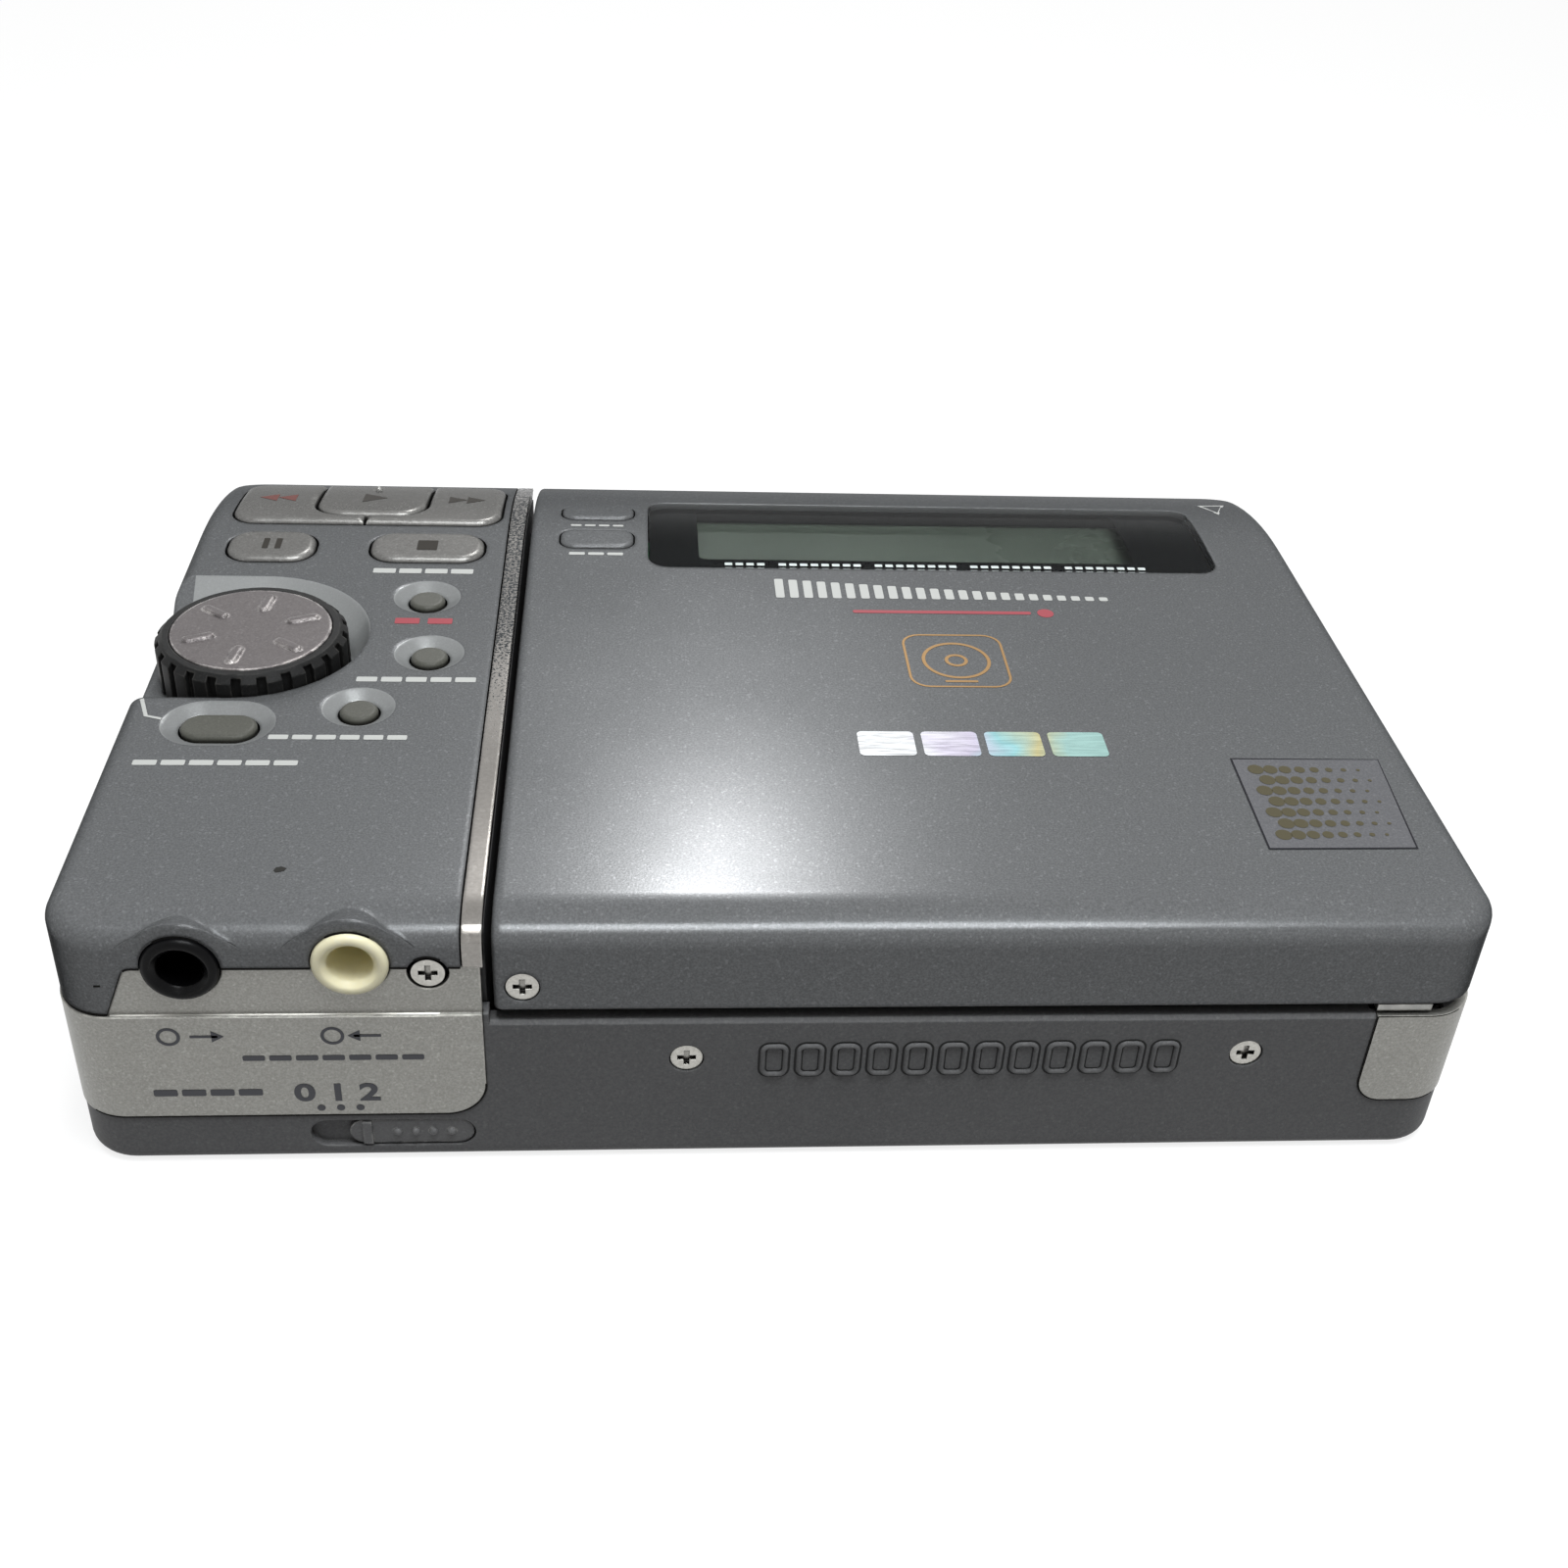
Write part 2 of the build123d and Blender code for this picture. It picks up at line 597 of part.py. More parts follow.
def deck_frame():
    """Moulded frame around the disc bay, with a ledge that carries the deck plate."""
    low = BASE_WALL + FIT
    lid_side = Pos((WALL_X[1] + WIDTH) / 2 + 0.2, DEPTH / 2) * Rectangle(WIDTH - WALL_X[1], DEPTH)
    outline = plan(low) & lid_side
    outer = prism(outline, (DECK_Z - 0.8, BASE_TOP - 0.3))
    outer &= block((0, WIDTH), (FRAME_BACK, DEPTH), (0, HEIGHT))
    bay = block(BAY_X, (FRAME_BACK + 1.4, BAY_FRONT + 1.0), (DECK_Z, HEIGHT))
    window = block((BAY_X[0] + 2, BAY_X[1] - 2), (FRAME_BACK + 3.4, BAY_FRONT - 1.0), (0, HEIGHT))
    frame = outer - bay - window
    # raised rim that closes the groove under the lid's edge
    rim_x = (LID_LEFT + SHELL + 0.4, WIDTH - SHELL - 0.6)
    rim_y = (FRAME_BACK, DEPTH - BASE_WALL - 0.4)
    rim = block(rim_x, rim_y, (BASE_TOP - 0.4, LID_SEAM - 0.3)) & prism(outline, (0, HEIGHT))
    rim -= block(BAY_X, (FRAME_BACK + 1.4, BAY_FRONT + 1.0), (DECK_Z, HEIGHT))
    frame += rim
    # relief for the latch and the sliders' stems
    frame -= block((OPEN_X - 12, OPEN_X + 8), (DEPTH - 5.5, DEPTH), (OPEN_Z - 3, HEIGHT))
    for x in (RECORD_X, HOLD_X):
        frame -= block((x - 8, x + 5), (DEPTH - 5.0, DEPTH), (OPEN_Z - 3, OPEN_Z + 3))
    # legs on the base's floor
    for x, y in BOTTOM_SCREWS:
        frame += rod_z(x, y, BOTTOM_BOSS_R, (BOARD_Z, DECK_Z))
        frame -= rod_z(x, y, SHANK_R, (0, 5.2))
    return frame


def hinge_brackets():
    """Two sheet brackets behind the back wall; each carries one fixed ear."""
    parts = []
    plate_y = (BASE_WALL + HINGE_BOSS_T, BASE_WALL + HINGE_BOSS_T + BRACKET_T)
    rear = plate_y[1]
    for screw_x, ear_x in ((HINGE_SCREW_X[0], LEFT_EAR_X), (HINGE_SCREW_X[1], RIGHT_EAR_X)):
        low = min(screw_x - 3.0, ear_x[0])
        high = max(screw_x + 3.0, ear_x[1])
        plate = block((low, high), plate_y, (HINGE_SCREW_Z - 2.5, HINGE_SCREW_Z + 2.5))
        riser = block(ear_x, plate_y, (HINGE_SCREW_Z - 2.5, HINGE_Z + KNUCKLE_R))
        arm = block(ear_x, (HINGE_Y, rear), (HINGE_Z - 0.6, HINGE_Z + KNUCKLE_R))
        ear = rod_x(HINGE_Y, HINGE_Z, KNUCKLE_R, ear_x)
        bracket = plate + riser + arm + ear
        bracket -= rod_y(screw_x, HINGE_SCREW_Z, SHANK_R, (0, 6))
        bracket -= rod_x(HINGE_Y, HINGE_Z, PIN_R, (ear_x[0] - 1, ear_x[1] + 1))
        parts.append(bracket)
    return Compound(children=parts)


def hinge_pins():
    """Headed pins, pressed in the brackets' ears and running in the lid's ears."""
    left_pin = rod_x(HINGE_Y, HINGE_Z, PIN_R, (LEFT_LID_EAR_X[0] + 0.4, LEFT_EAR_X[1]))
    left_pin += rod_x(HINGE_Y, HINGE_Z, PIN_R + 0.35, (LEFT_EAR_X[1], LEFT_EAR_X[1] + 0.5))
    right_pin = rod_x(HINGE_Y, HINGE_Z, PIN_R, (RIGHT_EAR_X[0], RIGHT_LID_EAR_X[1] - 0.5))
    right_pin += rod_x(HINGE_Y, HINGE_Z, PIN_R + 0.35, (RIGHT_EAR_X[0] - 0.5, RIGHT_EAR_X[0]))
    return Compound(children=[left_pin, right_pin])


# ---------------------------------------------------------------- lid

def window_outline(grow):
    """Outline of the display window, grown all round by a clearance."""
    x = (WINDOW_X[0] - grow, WINDOW_X[1] + grow)
    y = (WINDOW_Y[0] - grow, WINDOW_Y[1] + grow)
    return soft_box(x, y, WINDOW_R + grow)


def lid_key_outline(y, grow):
    """Outline of one of the lid's keys, grown all round by a clearance."""
    size = (LID_KEY_SIZE[0] + 2 * grow, LID_KEY_SIZE[1] + 2 * grow)
    return Pos(LID_KEY_X, y) * RectangleRounded(*size, 1.5 + grow)


def lid_shell():
    """Outer skin of the lid, pierced for the window and two keys."""
    x = (LID_LEFT, WIDTH + 1)
    outer = CASE_TOP & block(x, (-5, DEPTH + 5), (LID_SEAM, HEIGHT + 5))
    cut_edges = [e for e in outer.edges() if abs(e.bounding_box().max.X - LID_LEFT) < 0.01]
    top_left = [e for e in cut_edges if e.bounding_box().max.Z > LID_SEAM + 0.01]
    outer = fillet(top_left, LID_EDGE_R)
    lower = [e for e in outer.edges() if e.bounding_box().max.Z < LID_SEAM + 0.01]
    outer = chamfer(lower, 0.3)
    hollow = form(SHELL, 0) & block((LID_LEFT + SHELL, WIDTH), (-5, DEPTH + 5), (-5, HEIGHT + 5))
    lid = outer - hollow
    lid -= prism(window_outline(FIT / 2), (0, HEIGHT + 5))
    for y in LID_KEY_Y:
        lid -= prism(lid_key_outline(y, PLAY), (0, HEIGHT + 5))
    # the skirt is thinner in front of the hinges
    left_x = (LEFT_LID_EAR_X[0] - 0.3, LEFT_EAR_X[1] + 1.0)
    right_x = (RIGHT_EAR_X[0] - 1.0, RIGHT_LID_EAR_X[1] + 0.3)
    for relief_x in (left_x, right_x):
        lid -= block(relief_x, (SKIRT_THIN, SHELL + 0.1), (LID_SEAM - 1, HINGE_Z + KNUCKLE_R + 0.4))
    lid -= rod_y(LID_SCREW_X, LID_SCREW_Z, HEAD_R + FIT, (-1, 0.8))
    lid -= rod_y(LID_SCREW_X, LID_SCREW_Z, SHANK_R + FIT, (-1, 3))
    return lid


def lid_frame():
    """Pressed inner frame of the lid: plate, rim, hinge ears and latch tab."""
    rim = SHELL + FIT / 2
    plate_z = (LID_SEAM + FRAME_UP, LID_SEAM + FRAME_UP + FRAME_T)
    room = form(rim, 0) & block((LID_LEFT + rim, WIDTH), (0, DEPTH), (0, HEIGHT))
    plate = room & block((0, WIDTH), (FRAME_BACK - 0.4, DEPTH), plate_z)
    opening = block(shrink(HOLDER_X, 12), (14, PANEL_Y[0] - 4.5), (0, HEIGHT))
    frame = plate - opening
    # upright rim along both sides stiffens the plate
    for side in ((LID_LEFT + rim, LID_LEFT + rim + 0.8), (WIDTH - rim - 0.8, WIDTH - rim)):
        frame += room & block(side, (FRAME_BACK - 0.4, DEPTH - 12), (plate_z[0], PANEL_TOP - 1))
    # ears around the hinge pins
    for ear_x in (LEFT_LID_EAR_X, RIGHT_LID_EAR_X):
        ear = rod_x(HINGE_Y, HINGE_Z, LID_EAR_R, ear_x)
        ear += block(ear_x, (HINGE_Y, FRAME_BACK), (plate_z[0], HINGE_Z + LID_EAR_R))
        frame += ear
    # block that fills the groove under the lid's edge at the right
    foot = block(RIGHT_LID_EAR_X, (PLATE_PROUD + 0.1, 1.5), (LID_SEAM - 0.7, LID_SEAM - 0.05))
    foot += block(RIGHT_LID_EAR_X, (SHELL + 0.05, HINGE_Y), (LID_SEAM - 0.7, HINGE_Z))
    frame += foot
    for ear_x in (LEFT_LID_EAR_X, RIGHT_LID_EAR_X):
        frame -= rod_x(HINGE_Y, HINGE_Z, PIN_R + RUNNING, (ear_x[0] - 1, ear_x[1] + 1))
    # tab behind the lid screw
    tab_x = (LID_LEFT + rim, LID_SCREW_X + 1.3)
    frame += block(tab_x, (SHELL + 0.05, FRAME_BACK), (LID_SCREW_Z - 1.4, LID_SCREW_Z + 1.4))
    frame += block(tab_x, (FRAME_BACK - 0.5, FRAME_BACK + 0.5), (plate_z[0], LID_SCREW_Z + 1.4))
    frame -= rod_y(LID_SCREW_X, LID_SCREW_Z, SHANK_R, (0, 3.8))
    # latch tab: leg and foot in front of the disc bay
    frame += block((OPEN_X + 2.6, OPEN_X + 4.2), LATCH_Y, (OPEN_Z, plate_z[1]))
    frame += block((OPEN_X + 0.6, OPEN_X + 2.7), LATCH_Y, (OPEN_Z, OPEN_Z + 1.0))
    # pillars down to the disc holder
    for x in (HOLDER_X[0] + 3, HOLDER_X[1] - 3):
        for y in (BAY_BACK + 6, BAY_FRONT - 8):
            frame += rod_z(x, y, 1.5, (HOLDER_TOP, plate_z[0] + 0.1))
    # pillars up to the display's board
    for x in (PANEL_X[0] - 1.5, PANEL_X[1] + 1.5):
        frame += rod_z(x, (PANEL_Y[0] + PANEL_Y[1]) / 2, 1.2, (plate_z[1] - 0.1, LCD_BOARD_Z[0]))
    # wall under the lid's keys
    for y in LID_KEY_Y:
        frame += rod_z(LID_KEY_X, y, 1.0, (plate_z[1] - 0.1, LCD_BOARD_Z[0]))
    return frame


def disc_holder():
    """Folded sheet sleeve that carries the disc and lifts with the lid."""
    y = (BAY_BACK, BAY_FRONT)
    sleeve = block(HOLDER_X, y, (HOLDER_BOTTOM, HOLDER_TOP))
    inner_x = (HOLDER_X[0] + SHEET, HOLDER_X[1] - SHEET)
    inner_z = (HOLDER_BOTTOM + SHEET, HOLDER_TOP - SHEET)
    sleeve -= block(inner_x, (BAY_BACK + SHEET, BAY_FRONT + 1), inner_z)
    # the underside is only two side lips and a back lip
    lips = block((inner_x[0] + 4, inner_x[1] - 4), (BAY_BACK + 3.5, BAY_FRONT + 1), (0, HOLDER_BOTTOM + 1))
    sleeve -= lips
    # slot for the recording head, and lightening holes
    head_y = (SPINDLE_Y - 4.5, SPINDLE_Y + 4.5)
    head_x = (SLED_X - 2.5, SLED_X + SLED_LENGTH + SLED_TRAVEL + 1.5)
    sleeve -= block(head_x, head_y, (HOLDER_TOP - 1, HOLDER_TOP + 1))
    sleeve -= prism(Pos(DISC_X - 18, SPINDLE_Y) * SlotOverall(24, 10), (HOLDER_TOP - 1, HOLDER_TOP + 1))
    return sleeve


def lcd_window():
    """Glossy curved window, flush with the lid's skin."""
    piece = CASE_TOP & prism(window_outline(-FIT / 2), (0, HEIGHT + 5))
    return piece - form(WINDOW_T, 0)


def lcd_panel():
    """Glass display cell."""
    return prism(soft_box(PANEL_X, PANEL_Y, 0.4), (PANEL_TOP - PANEL_T, PANEL_TOP))


def lcd_board():
    """Board behind the display, with a tongue under the lid's two keys."""
    z = LCD_BOARD_Z
    board = block((PANEL_X[0] - 3, PANEL_X[1] + 4), (PANEL_Y[0] - 1.5, PANEL_Y[1] + 0.5), z)
    tongue = block((LID_KEY_X - 4, PANEL_X[0] - 2.9), (LID_KEY_Y[0] - 2.5, LID_KEY_Y[1] + 2.5), z)
    return board + tongue


def lid_switches():
    """Two dome switches under the lid's keys."""
    top = LCD_BOARD_Z[1]
    return Compound(children=[dome_switch(LID_KEY_X, y, top) for y in LID_KEY_Y])


# ---------------------------------------------------------------- keys

def dome_switch(x, y, z):
    """Square switch with a round plunger, standing on a board."""
    half = SWITCH_SIDE / 2
    body = block((x - half, x + half), (y - half, y + half), (z, z + SWITCH_T - 0.5))
    return body + rod_z(x, y, 1.0, (z + SWITCH_T - 0.6, z + SWITCH_T))


def proud_key(outline, lip_outline, x, y, board_top):
    """Key whose top follows the case and stands proud, with a lip under the shell and a stem."""
    cap = prism(outline, (HEIGHT - 8, HEIGHT + 5)) & form(-KEY_PROUD, 0)
    cap -= form(SHELL + PLAY + KEY_LIP_T, 0)
    crown = [e for e in cap.edges() if crown_edge(e, KEY_PROUD)]
    cap = fillet(crown, KEY_EDGE_R)
    lip = prism(lip_outline, (HEIGHT - 9, HEIGHT)) & form(SHELL + PLAY, 0)
    lip -= form(SHELL + PLAY + KEY_LIP_T, 0)
    stem = rod_z(x, y, KEY_STEM_R, (board_top + SWITCH_T + KEY_TRAVEL + RUNNING, HEIGHT - 2))
    stem &= form(SHELL + PLAY, 0)
    return cap + lip + stem


def crown_edge(edge, proud):
    """True for an edge that lies all along the border of a proud top surface."""
    points = [edge.position_at(t) for t in (0.0, 0.5, 1.0)]
    return all(point_height(p, proud) < 0.02 for p in points)


def point_height(p, proud):
    """Distance between a point and the top surface raised by proud."""
    if p.Y <= FRONT_START:
        top = HEIGHT + proud
    else:
        reach = FRONT_R + proud
        top = HEIGHT - FRONT_R + math.sqrt(reach ** 2 - (p.Y - FRONT_START) ** 2)
    return abs(p.Z - top)


def cluster_outline(grow):
    """Outline of the play, rewind and forward keys together."""
    return soft_box(shrink(CLUSTER_X, -grow), shrink(CLUSTER_Y, -grow), CLUSTER_R + grow)


def play_outline(grow):
    y = (PLAY_BACK - grow, CLUSTER_Y[1] + 10)
    return soft_box(shrink(PLAY_X, -grow), y, PLAY_KEY_R + grow)


def half_plane(x):
    """Band across the key cluster between two widths."""
    return soft_box(x, (CLUSTER_Y[0] - 5, CLUSTER_Y[1] + 5), 0.01)


def play_cap(grow):
    return play_outline(grow) & cluster_outline(grow)


def rewind_cap(grow):
    half = half_plane((CLUSTER_X[0] - 5, KEY_SPLIT - KEY_GAP / 2 + grow))
    return (cluster_outline(grow) & half) - play_outline(KEY_GAP - grow)


def forward_cap(grow):
    half = half_plane((KEY_SPLIT + KEY_GAP / 2 - grow, CLUSTER_X[1] + 5))
    return (cluster_outline(grow) & half) - play_outline(KEY_GAP - grow)


def play_button():
    key = proud_key(play_cap(0), play_cap(0), *PLAY_CENTRE, CONTROL_TOP)
    dot_y = PLAY_CENTRE[1] + 3.6
    dot = Pos(PLAY_CENTRE[0], dot_y, front_height(dot_y) + KEY_PROUD) * Sphere(0.45)
    return key + dot


def front_height(y):
    """Height of the case's top surface at a distance from the back."""
    if y <= FRONT_START:
        return HEIGHT
    return HEIGHT - FRONT_R + math.sqrt(FRONT_R ** 2 - (y - FRONT_START) ** 2)


def lip_patch(x, y):
    """Part of a lip that reaches under the cover beside a key."""
    return soft_box(x, y, 0.5)


def rewind_button():
    patch = lip_patch((CLUSTER_X[0] - KEY_LIP, PLAY_X[0] - LIP_SHORT), (CLUSTER_Y[0] - KEY_LIP, LIP_END))
    lip = rewind_cap(0) + patch - play_outline(KEY_GAP)
    return proud_key(rewind_cap(0), lip, *REWIND_CENTRE, CONTROL_TOP)


def forward_button():
    patch = lip_patch((PLAY_X[1] + LIP_SHORT, CLUSTER_X[1] + KEY_LIP * 0.7), (CLUSTER_Y[0] - KEY_LIP, LIP_END))
    lip = forward_cap(0) + patch - play_outline(KEY_GAP)
    return proud_key(forward_cap(0), lip, *FORWARD_CENTRE, CONTROL_TOP)


def oblong_key(x, y):
    outline = soft_box(x, y, KEY_R)
    lip = soft_box(shrink(x, -KEY_LIP), shrink(y, -KEY_LIP), KEY_R)
    return proud_key(outline, lip, *middle(x, y), CONTROL_TOP)


def pause_button():
    return oblong_key(*PAUSE)


def stop_button():
    return oblong_key(*STOP)


def sunk_key(outline, lip_outline, x, y):
    """Small key in a dimple, its top a little under the case's surface."""
    top = HEIGHT - CAP_SUNK
    lip_top = DIMPLE_BOTTOM - PLAY
    cap = prism(outline, (lip_top - KEY_LIP_T, top))
    cap = fillet(cap.faces().sort_by(Axis.Z)[-1].edges(), 0.4)
    lip = prism(lip_outline, (lip_top - KEY_LIP_T, lip_top))
    stem_bottom = CONTROL_TOP + SWITCH_T + KEY_TRAVEL + RUNNING
    stem = rod_z(x, y, KEY_STEM_R, (stem_bottom, lip_top - KEY_LIP_T + 0.1))
    return cap + lip + stem


def round_key(centre):
    cap = Pos(*centre) * Circle(CAP_R)
    lip = Pos(*centre) * Circle(CAP_R + KEY_LIP)
    return sunk_key(cap, lip, *centre)


def title_button():
    cap = Pos(*TITLE) * SlotOverall(*TITLE_CAP)
    lip = Pos(*TITLE) * SlotOverall(TITLE_CAP[0] + 2 * KEY_LIP, TITLE_CAP[1] + 2 * KEY_LIP)
    return sunk_key(cap, lip, *TITLE)


def lid_key(y):
    """Key in the lid that stands a little proud of the skin."""
    outline = lid_key_outline(y, 0)
    cap = prism(outline, (HEIGHT - 8, HEIGHT + 5)) & form(-LID_KEY_PROUD, 0)
    cap -= form(SHELL + PLAY + KEY_LIP_T, 0)
    crown = [e for e in cap.edges() if crown_edge(e, LID_KEY_PROUD)]
    cap = fillet(crown, LID_KEY_EDGE_R)
    lip_x = (LID_KEY_X - LID_KEY_SIZE[0] / 2 - 0.4, LID_KEY_X + LID_KEY_SIZE[0] / 2 + KEY_LIP)
    half = LID_KEY_SIZE[1] / 2 + KEY_LIP
    lip = prism(soft_box(lip_x, (y - half, y + half), 1.5), (HEIGHT - 8, HEIGHT + 5))
    lip = (lip & form(SHELL + PLAY, 0)) - form(SHELL + PLAY + KEY_LIP_T, 0)
    switch_top = LCD_BOARD_Z[1] + SWITCH_T
    stem = rod_z(LID_KEY_X, y, KEY_STEM_R, (switch_top + LID_KEY_TRAVEL + RUNNING, HEIGHT))
    stem &= form(SHELL + PLAY, 0)
    return cap + lip + stem


# ---------------------------------------------------------------- control cover and dial

def pocket_outline(centre, radius, grow):
    """Round end and straight sides of the pocket, running out over the left side."""
    round_end = Pos(*centre) * Circle(radius + grow)
    x = (-12, centre[0])
    straight = Pos((x[0] + x[1]) / 2, centre[1]) * Rectangle(x[1] - x[0], 2 * (radius + grow))
    return round_end + straight


def dial_pocket(grow):
    """Sloping hollow around the dial, open at the left side."""
    low = pocket_outline((DIAL_X, DIAL_Y), DIAL_R + PLAY, grow)
    high = pocket_outline((POCKET_X, POCKET_Y), POCKET_R, grow)
    sketch = Pos(0, 0, POCKET_FLOOR) * low
    return loft([sketch.faces()[0], (Pos(0, 0, HEIGHT + 0.1) * high).faces()[0]])


def swelling_cone(x, z, radius, taper):
    """Cone that lies along Y with its wide end in the back face."""
    upright = (Align.CENTER, Align.CENTER, Align.MIN)
    return Pos(x, 0, z) * Rot(-90, 0, 0) * Cone(radius, radius - taper, BULGE_RUN, align=upright)


def bulge(x, z):
    """Swelling of the shell over a socket: a cone, and a flatter one that spreads its foot."""
    swell = swelling_cone(x, z, BULGE_R, BULGE_TAPER)
    swell += swelling_cone(x, z - SKIRT_DROP, SKIRT_R, SKIRT_TAPER)
    return swell & block((x - SKIRT_R, x + SKIRT_R), (0.0, BULGE_RUN), (LID_SEAM + 3.0, z + SKIRT_R))


def control_cover():
    """Top shell of the column, with the dial's pocket and the keys' openings."""
    x = (-1, COLUMN_WIDTH)
    outer = CASE_TOP & block(x, (-5, DEPTH + 5), (LID_SEAM, HEIGHT + 5))
    swell = bulge(OUTPUT_X, OUTPUT_Z) + bulge(INPUT_X, INPUT_Z)
    outer += swell
    cover = outer - (form(SHELL) & block((-1, COLUMN_WIDTH + 1), (-5, DEPTH + 5), (-5, HEIGHT)))
    # the pocket's own wall and floor
    shell_room = CASE_TOP & block((-1, COLUMN_WIDTH), (-5, DEPTH + 5), (LID_SEAM, HEIGHT + 5))
    cup = dial_pocket(1.0) & shell_room
    floor = prism(pocket_outline((DIAL_X, DIAL_Y), DIAL_R + PLAY, 1.0), (POCKET_FLOOR - 1.0, POCKET_FLOOR))
    cup += floor & shell_room
    cover += cup
    # cups under the small keys' dimples
    cup_z = (DIMPLE_BOTTOM, HEIGHT - SHELL + 0.1)
    for centre in (ERASE, END_SEARCH, TRACK_MARK):
        cover += rod_z(*centre, DIMPLE_R + 0.3, cup_z)
    title_cup = Pos(*TITLE) * SlotOverall(TITLE_DIMPLE[0] + 0.6, TITLE_DIMPLE[1] + 0.6)
    cover += prism(title_cup, cup_z)
    cover -= dial_pocket(0)
    cover -= rod_z(DIAL_X, DIAL_Y, 2.2, (POCKET_FLOOR - 3, POCKET_FLOOR + 1))
    for centre in (ERASE, END_SEARCH, TRACK_MARK):
        cover -= dimple(Pos(*centre) * Circle(DIMPLE_R), Pos(*centre) * Circle(CAP_R + 0.2))
        cover -= rod_z(*centre, CAP_R + 0.2, (HEIGHT - 5, HEIGHT + 1))
    title_hole = Pos(*TITLE) * SlotOverall(TITLE_CAP[0] + 0.4, TITLE_CAP[1] + 0.4)
    cover -= dimple(Pos(*TITLE) * SlotOverall(*TITLE_DIMPLE), title_hole)
    cover -= prism(title_hole, (HEIGHT - 5, HEIGHT + 1))
    for x, y in (PAUSE, STOP):
        hole = soft_box(shrink(x, -KEY_GAP), shrink(y, -KEY_GAP), KEY_R + KEY_GAP)
        cover -= prism(hole, (HEIGHT - 6, HEIGHT + 1))
    cover -= prism(cluster_outline(KEY_GAP), (HEIGHT - 9, HEIGHT + 1))
    # the plate, the sockets and the screw take their places in the back face
    cover -= jack_plate_outline_cut(FIT / 2)
    cover -= socket_holes(FIT, (-1, 4))
    cover -= rod_y(OUTPUT_X, OUTPUT_Z, JACK_BODY_R + 0.1, (1, JACK_LENGTH + 2))
    cover -= rod_y(INPUT_X, INPUT_Z, JACK_BODY_R + 0.1, (1, JACK_LENGTH + 2))
    cover -= rod_y(COVER_SCREW_X, COVER_SCREW_Z, HEAD_R + COVER_NICK, (-1, 0.8))
    cover -= rod_y(COVER_SCREW_X, COVER_SCREW_Z, SHANK_R + FIT, (-1, 3))
    return cover


def dimple(top, bottom):
    """Sloping hollow between a wide outline at the surface and a narrow one below."""
    high = (Pos(0, 0, HEIGHT + 0.01) * top).faces()[0]
    low = (Pos(0, 0, HEIGHT - DIMPLE_DEEP) * bottom).faces()[0]
    return loft([low, high])


def divider_trim():
    """Plated strip between the column and the lid, bent over the case's profile."""
    x = (COLUMN_WIDTH + TRIM_GAP, COLUMN_WIDTH + TRIM_GAP + TRIM_WIDTH)
    return skin(x, PLATE_TOP + FIT, SHELL)


def dial_wheel():
    """Ridged wheel with a recess for its cap and a hub over the encoder's shaft."""
    bottom = DIAL_TOP - DIAL_T
    wheel = rod_z(DIAL_X, DIAL_Y, DIAL_R, (bottom, DIAL_TOP))
    wheel = chamfer(wheel.faces().sort_by(Axis.Z)[-1].edges(), DIAL_EDGE)
    wheel -= rod_z(DIAL_X, DIAL_Y, DIAL_CAP_R + 0.1, (DIAL_TOP - 0.8, DIAL_TOP + 1))
    wheel -= rod_z(DIAL_X, DIAL_Y, DIAL_R - 2.2, (bottom - 1, DIAL_TOP - 1.8))
    wheel += rod_z(DIAL_X, DIAL_Y, 1.9, (bottom - 1.6, DIAL_TOP - 1.7))
    wheel -= rod_z(DIAL_X, DIAL_Y, 1.0 + RUNNING, (bottom - 3, DIAL_TOP - 1.8))
    half = NOTCH_WIDTH / 2
    notch = block((DIAL_R - NOTCH_DEEP, DIAL_R + 1), (-half, half), (bottom - 1, DIAL_TOP - NOTCH_TOP))
    for i in range(DIAL_NOTCHES):
        wheel -= Pos(DIAL_X, DIAL_Y, 0) * Rot(0, 0, 360 * i / DIAL_NOTCHES) * notch
    return wheel


def dial_cap():
    """Thin metal disc let into the wheel, with raised radial bars."""
    top = DIAL_TOP + DIAL_CAP_PROUD
    cap = rod_z(DIAL_X, DIAL_Y, DIAL_CAP_R, (DIAL_TOP - 0.8, top))
    cap = fillet(cap.faces().sort_by(Axis.Z)[-1].edges(), 0.08)
    bar = extrude(SlotOverall(*DIAL_BAR), DIAL_BAR_PROUD + 0.1)
    bar = fillet(bar.faces().sort_by(Axis.Z)[-1].edges(), DIAL_BAR_EDGE)
    for i in range(DIAL_BARS):
        spoke = Pos(DIAL_X, DIAL_Y, top - 0.1) * Rot(0, 0, 22 + 360 * i / DIAL_BARS)
        cap += spoke * Pos(DIAL_BAR_R, 0, 0) * bar
    return cap


def dial_encoder():
    """Rotary encoder on the control board, with its shaft in the wheel's hub."""
    body = rod_z(DIAL_X, DIAL_Y, ENCODER_R, (CONTROL_TOP, POCKET_FLOOR - 1.6))
    return body + rod_z(DIAL_X, DIAL_Y, 1.0, (CONTROL_TOP, DIAL_TOP - 2.2))


def control_board():
    """Board that carries the column's switches and the encoder."""
    edge = BASE_WALL + 1.2
    board = prism(plan(edge), (CONTROL_BOARD_Z, CONTROL_TOP))
    board &= block((0, WALL_X[0] - 0.3), (JACK_LENGTH + 2.0, CONTROL_BOARD_FRONT), (0, HEIGHT))
    return board & form(SHELL + 0.3, 0)


def key_switches():
    """Dome switches, one under each key of the column."""
    places = [PLAY_CENTRE, REWIND_CENTRE, FORWARD_CENTRE, middle(*PAUSE), middle(*STOP)]
    places += [ERASE, END_SEARCH, TRACK_MARK, TITLE]
    return Compound(children=[dome_switch(x, y, CONTROL_TOP) for x, y in places])


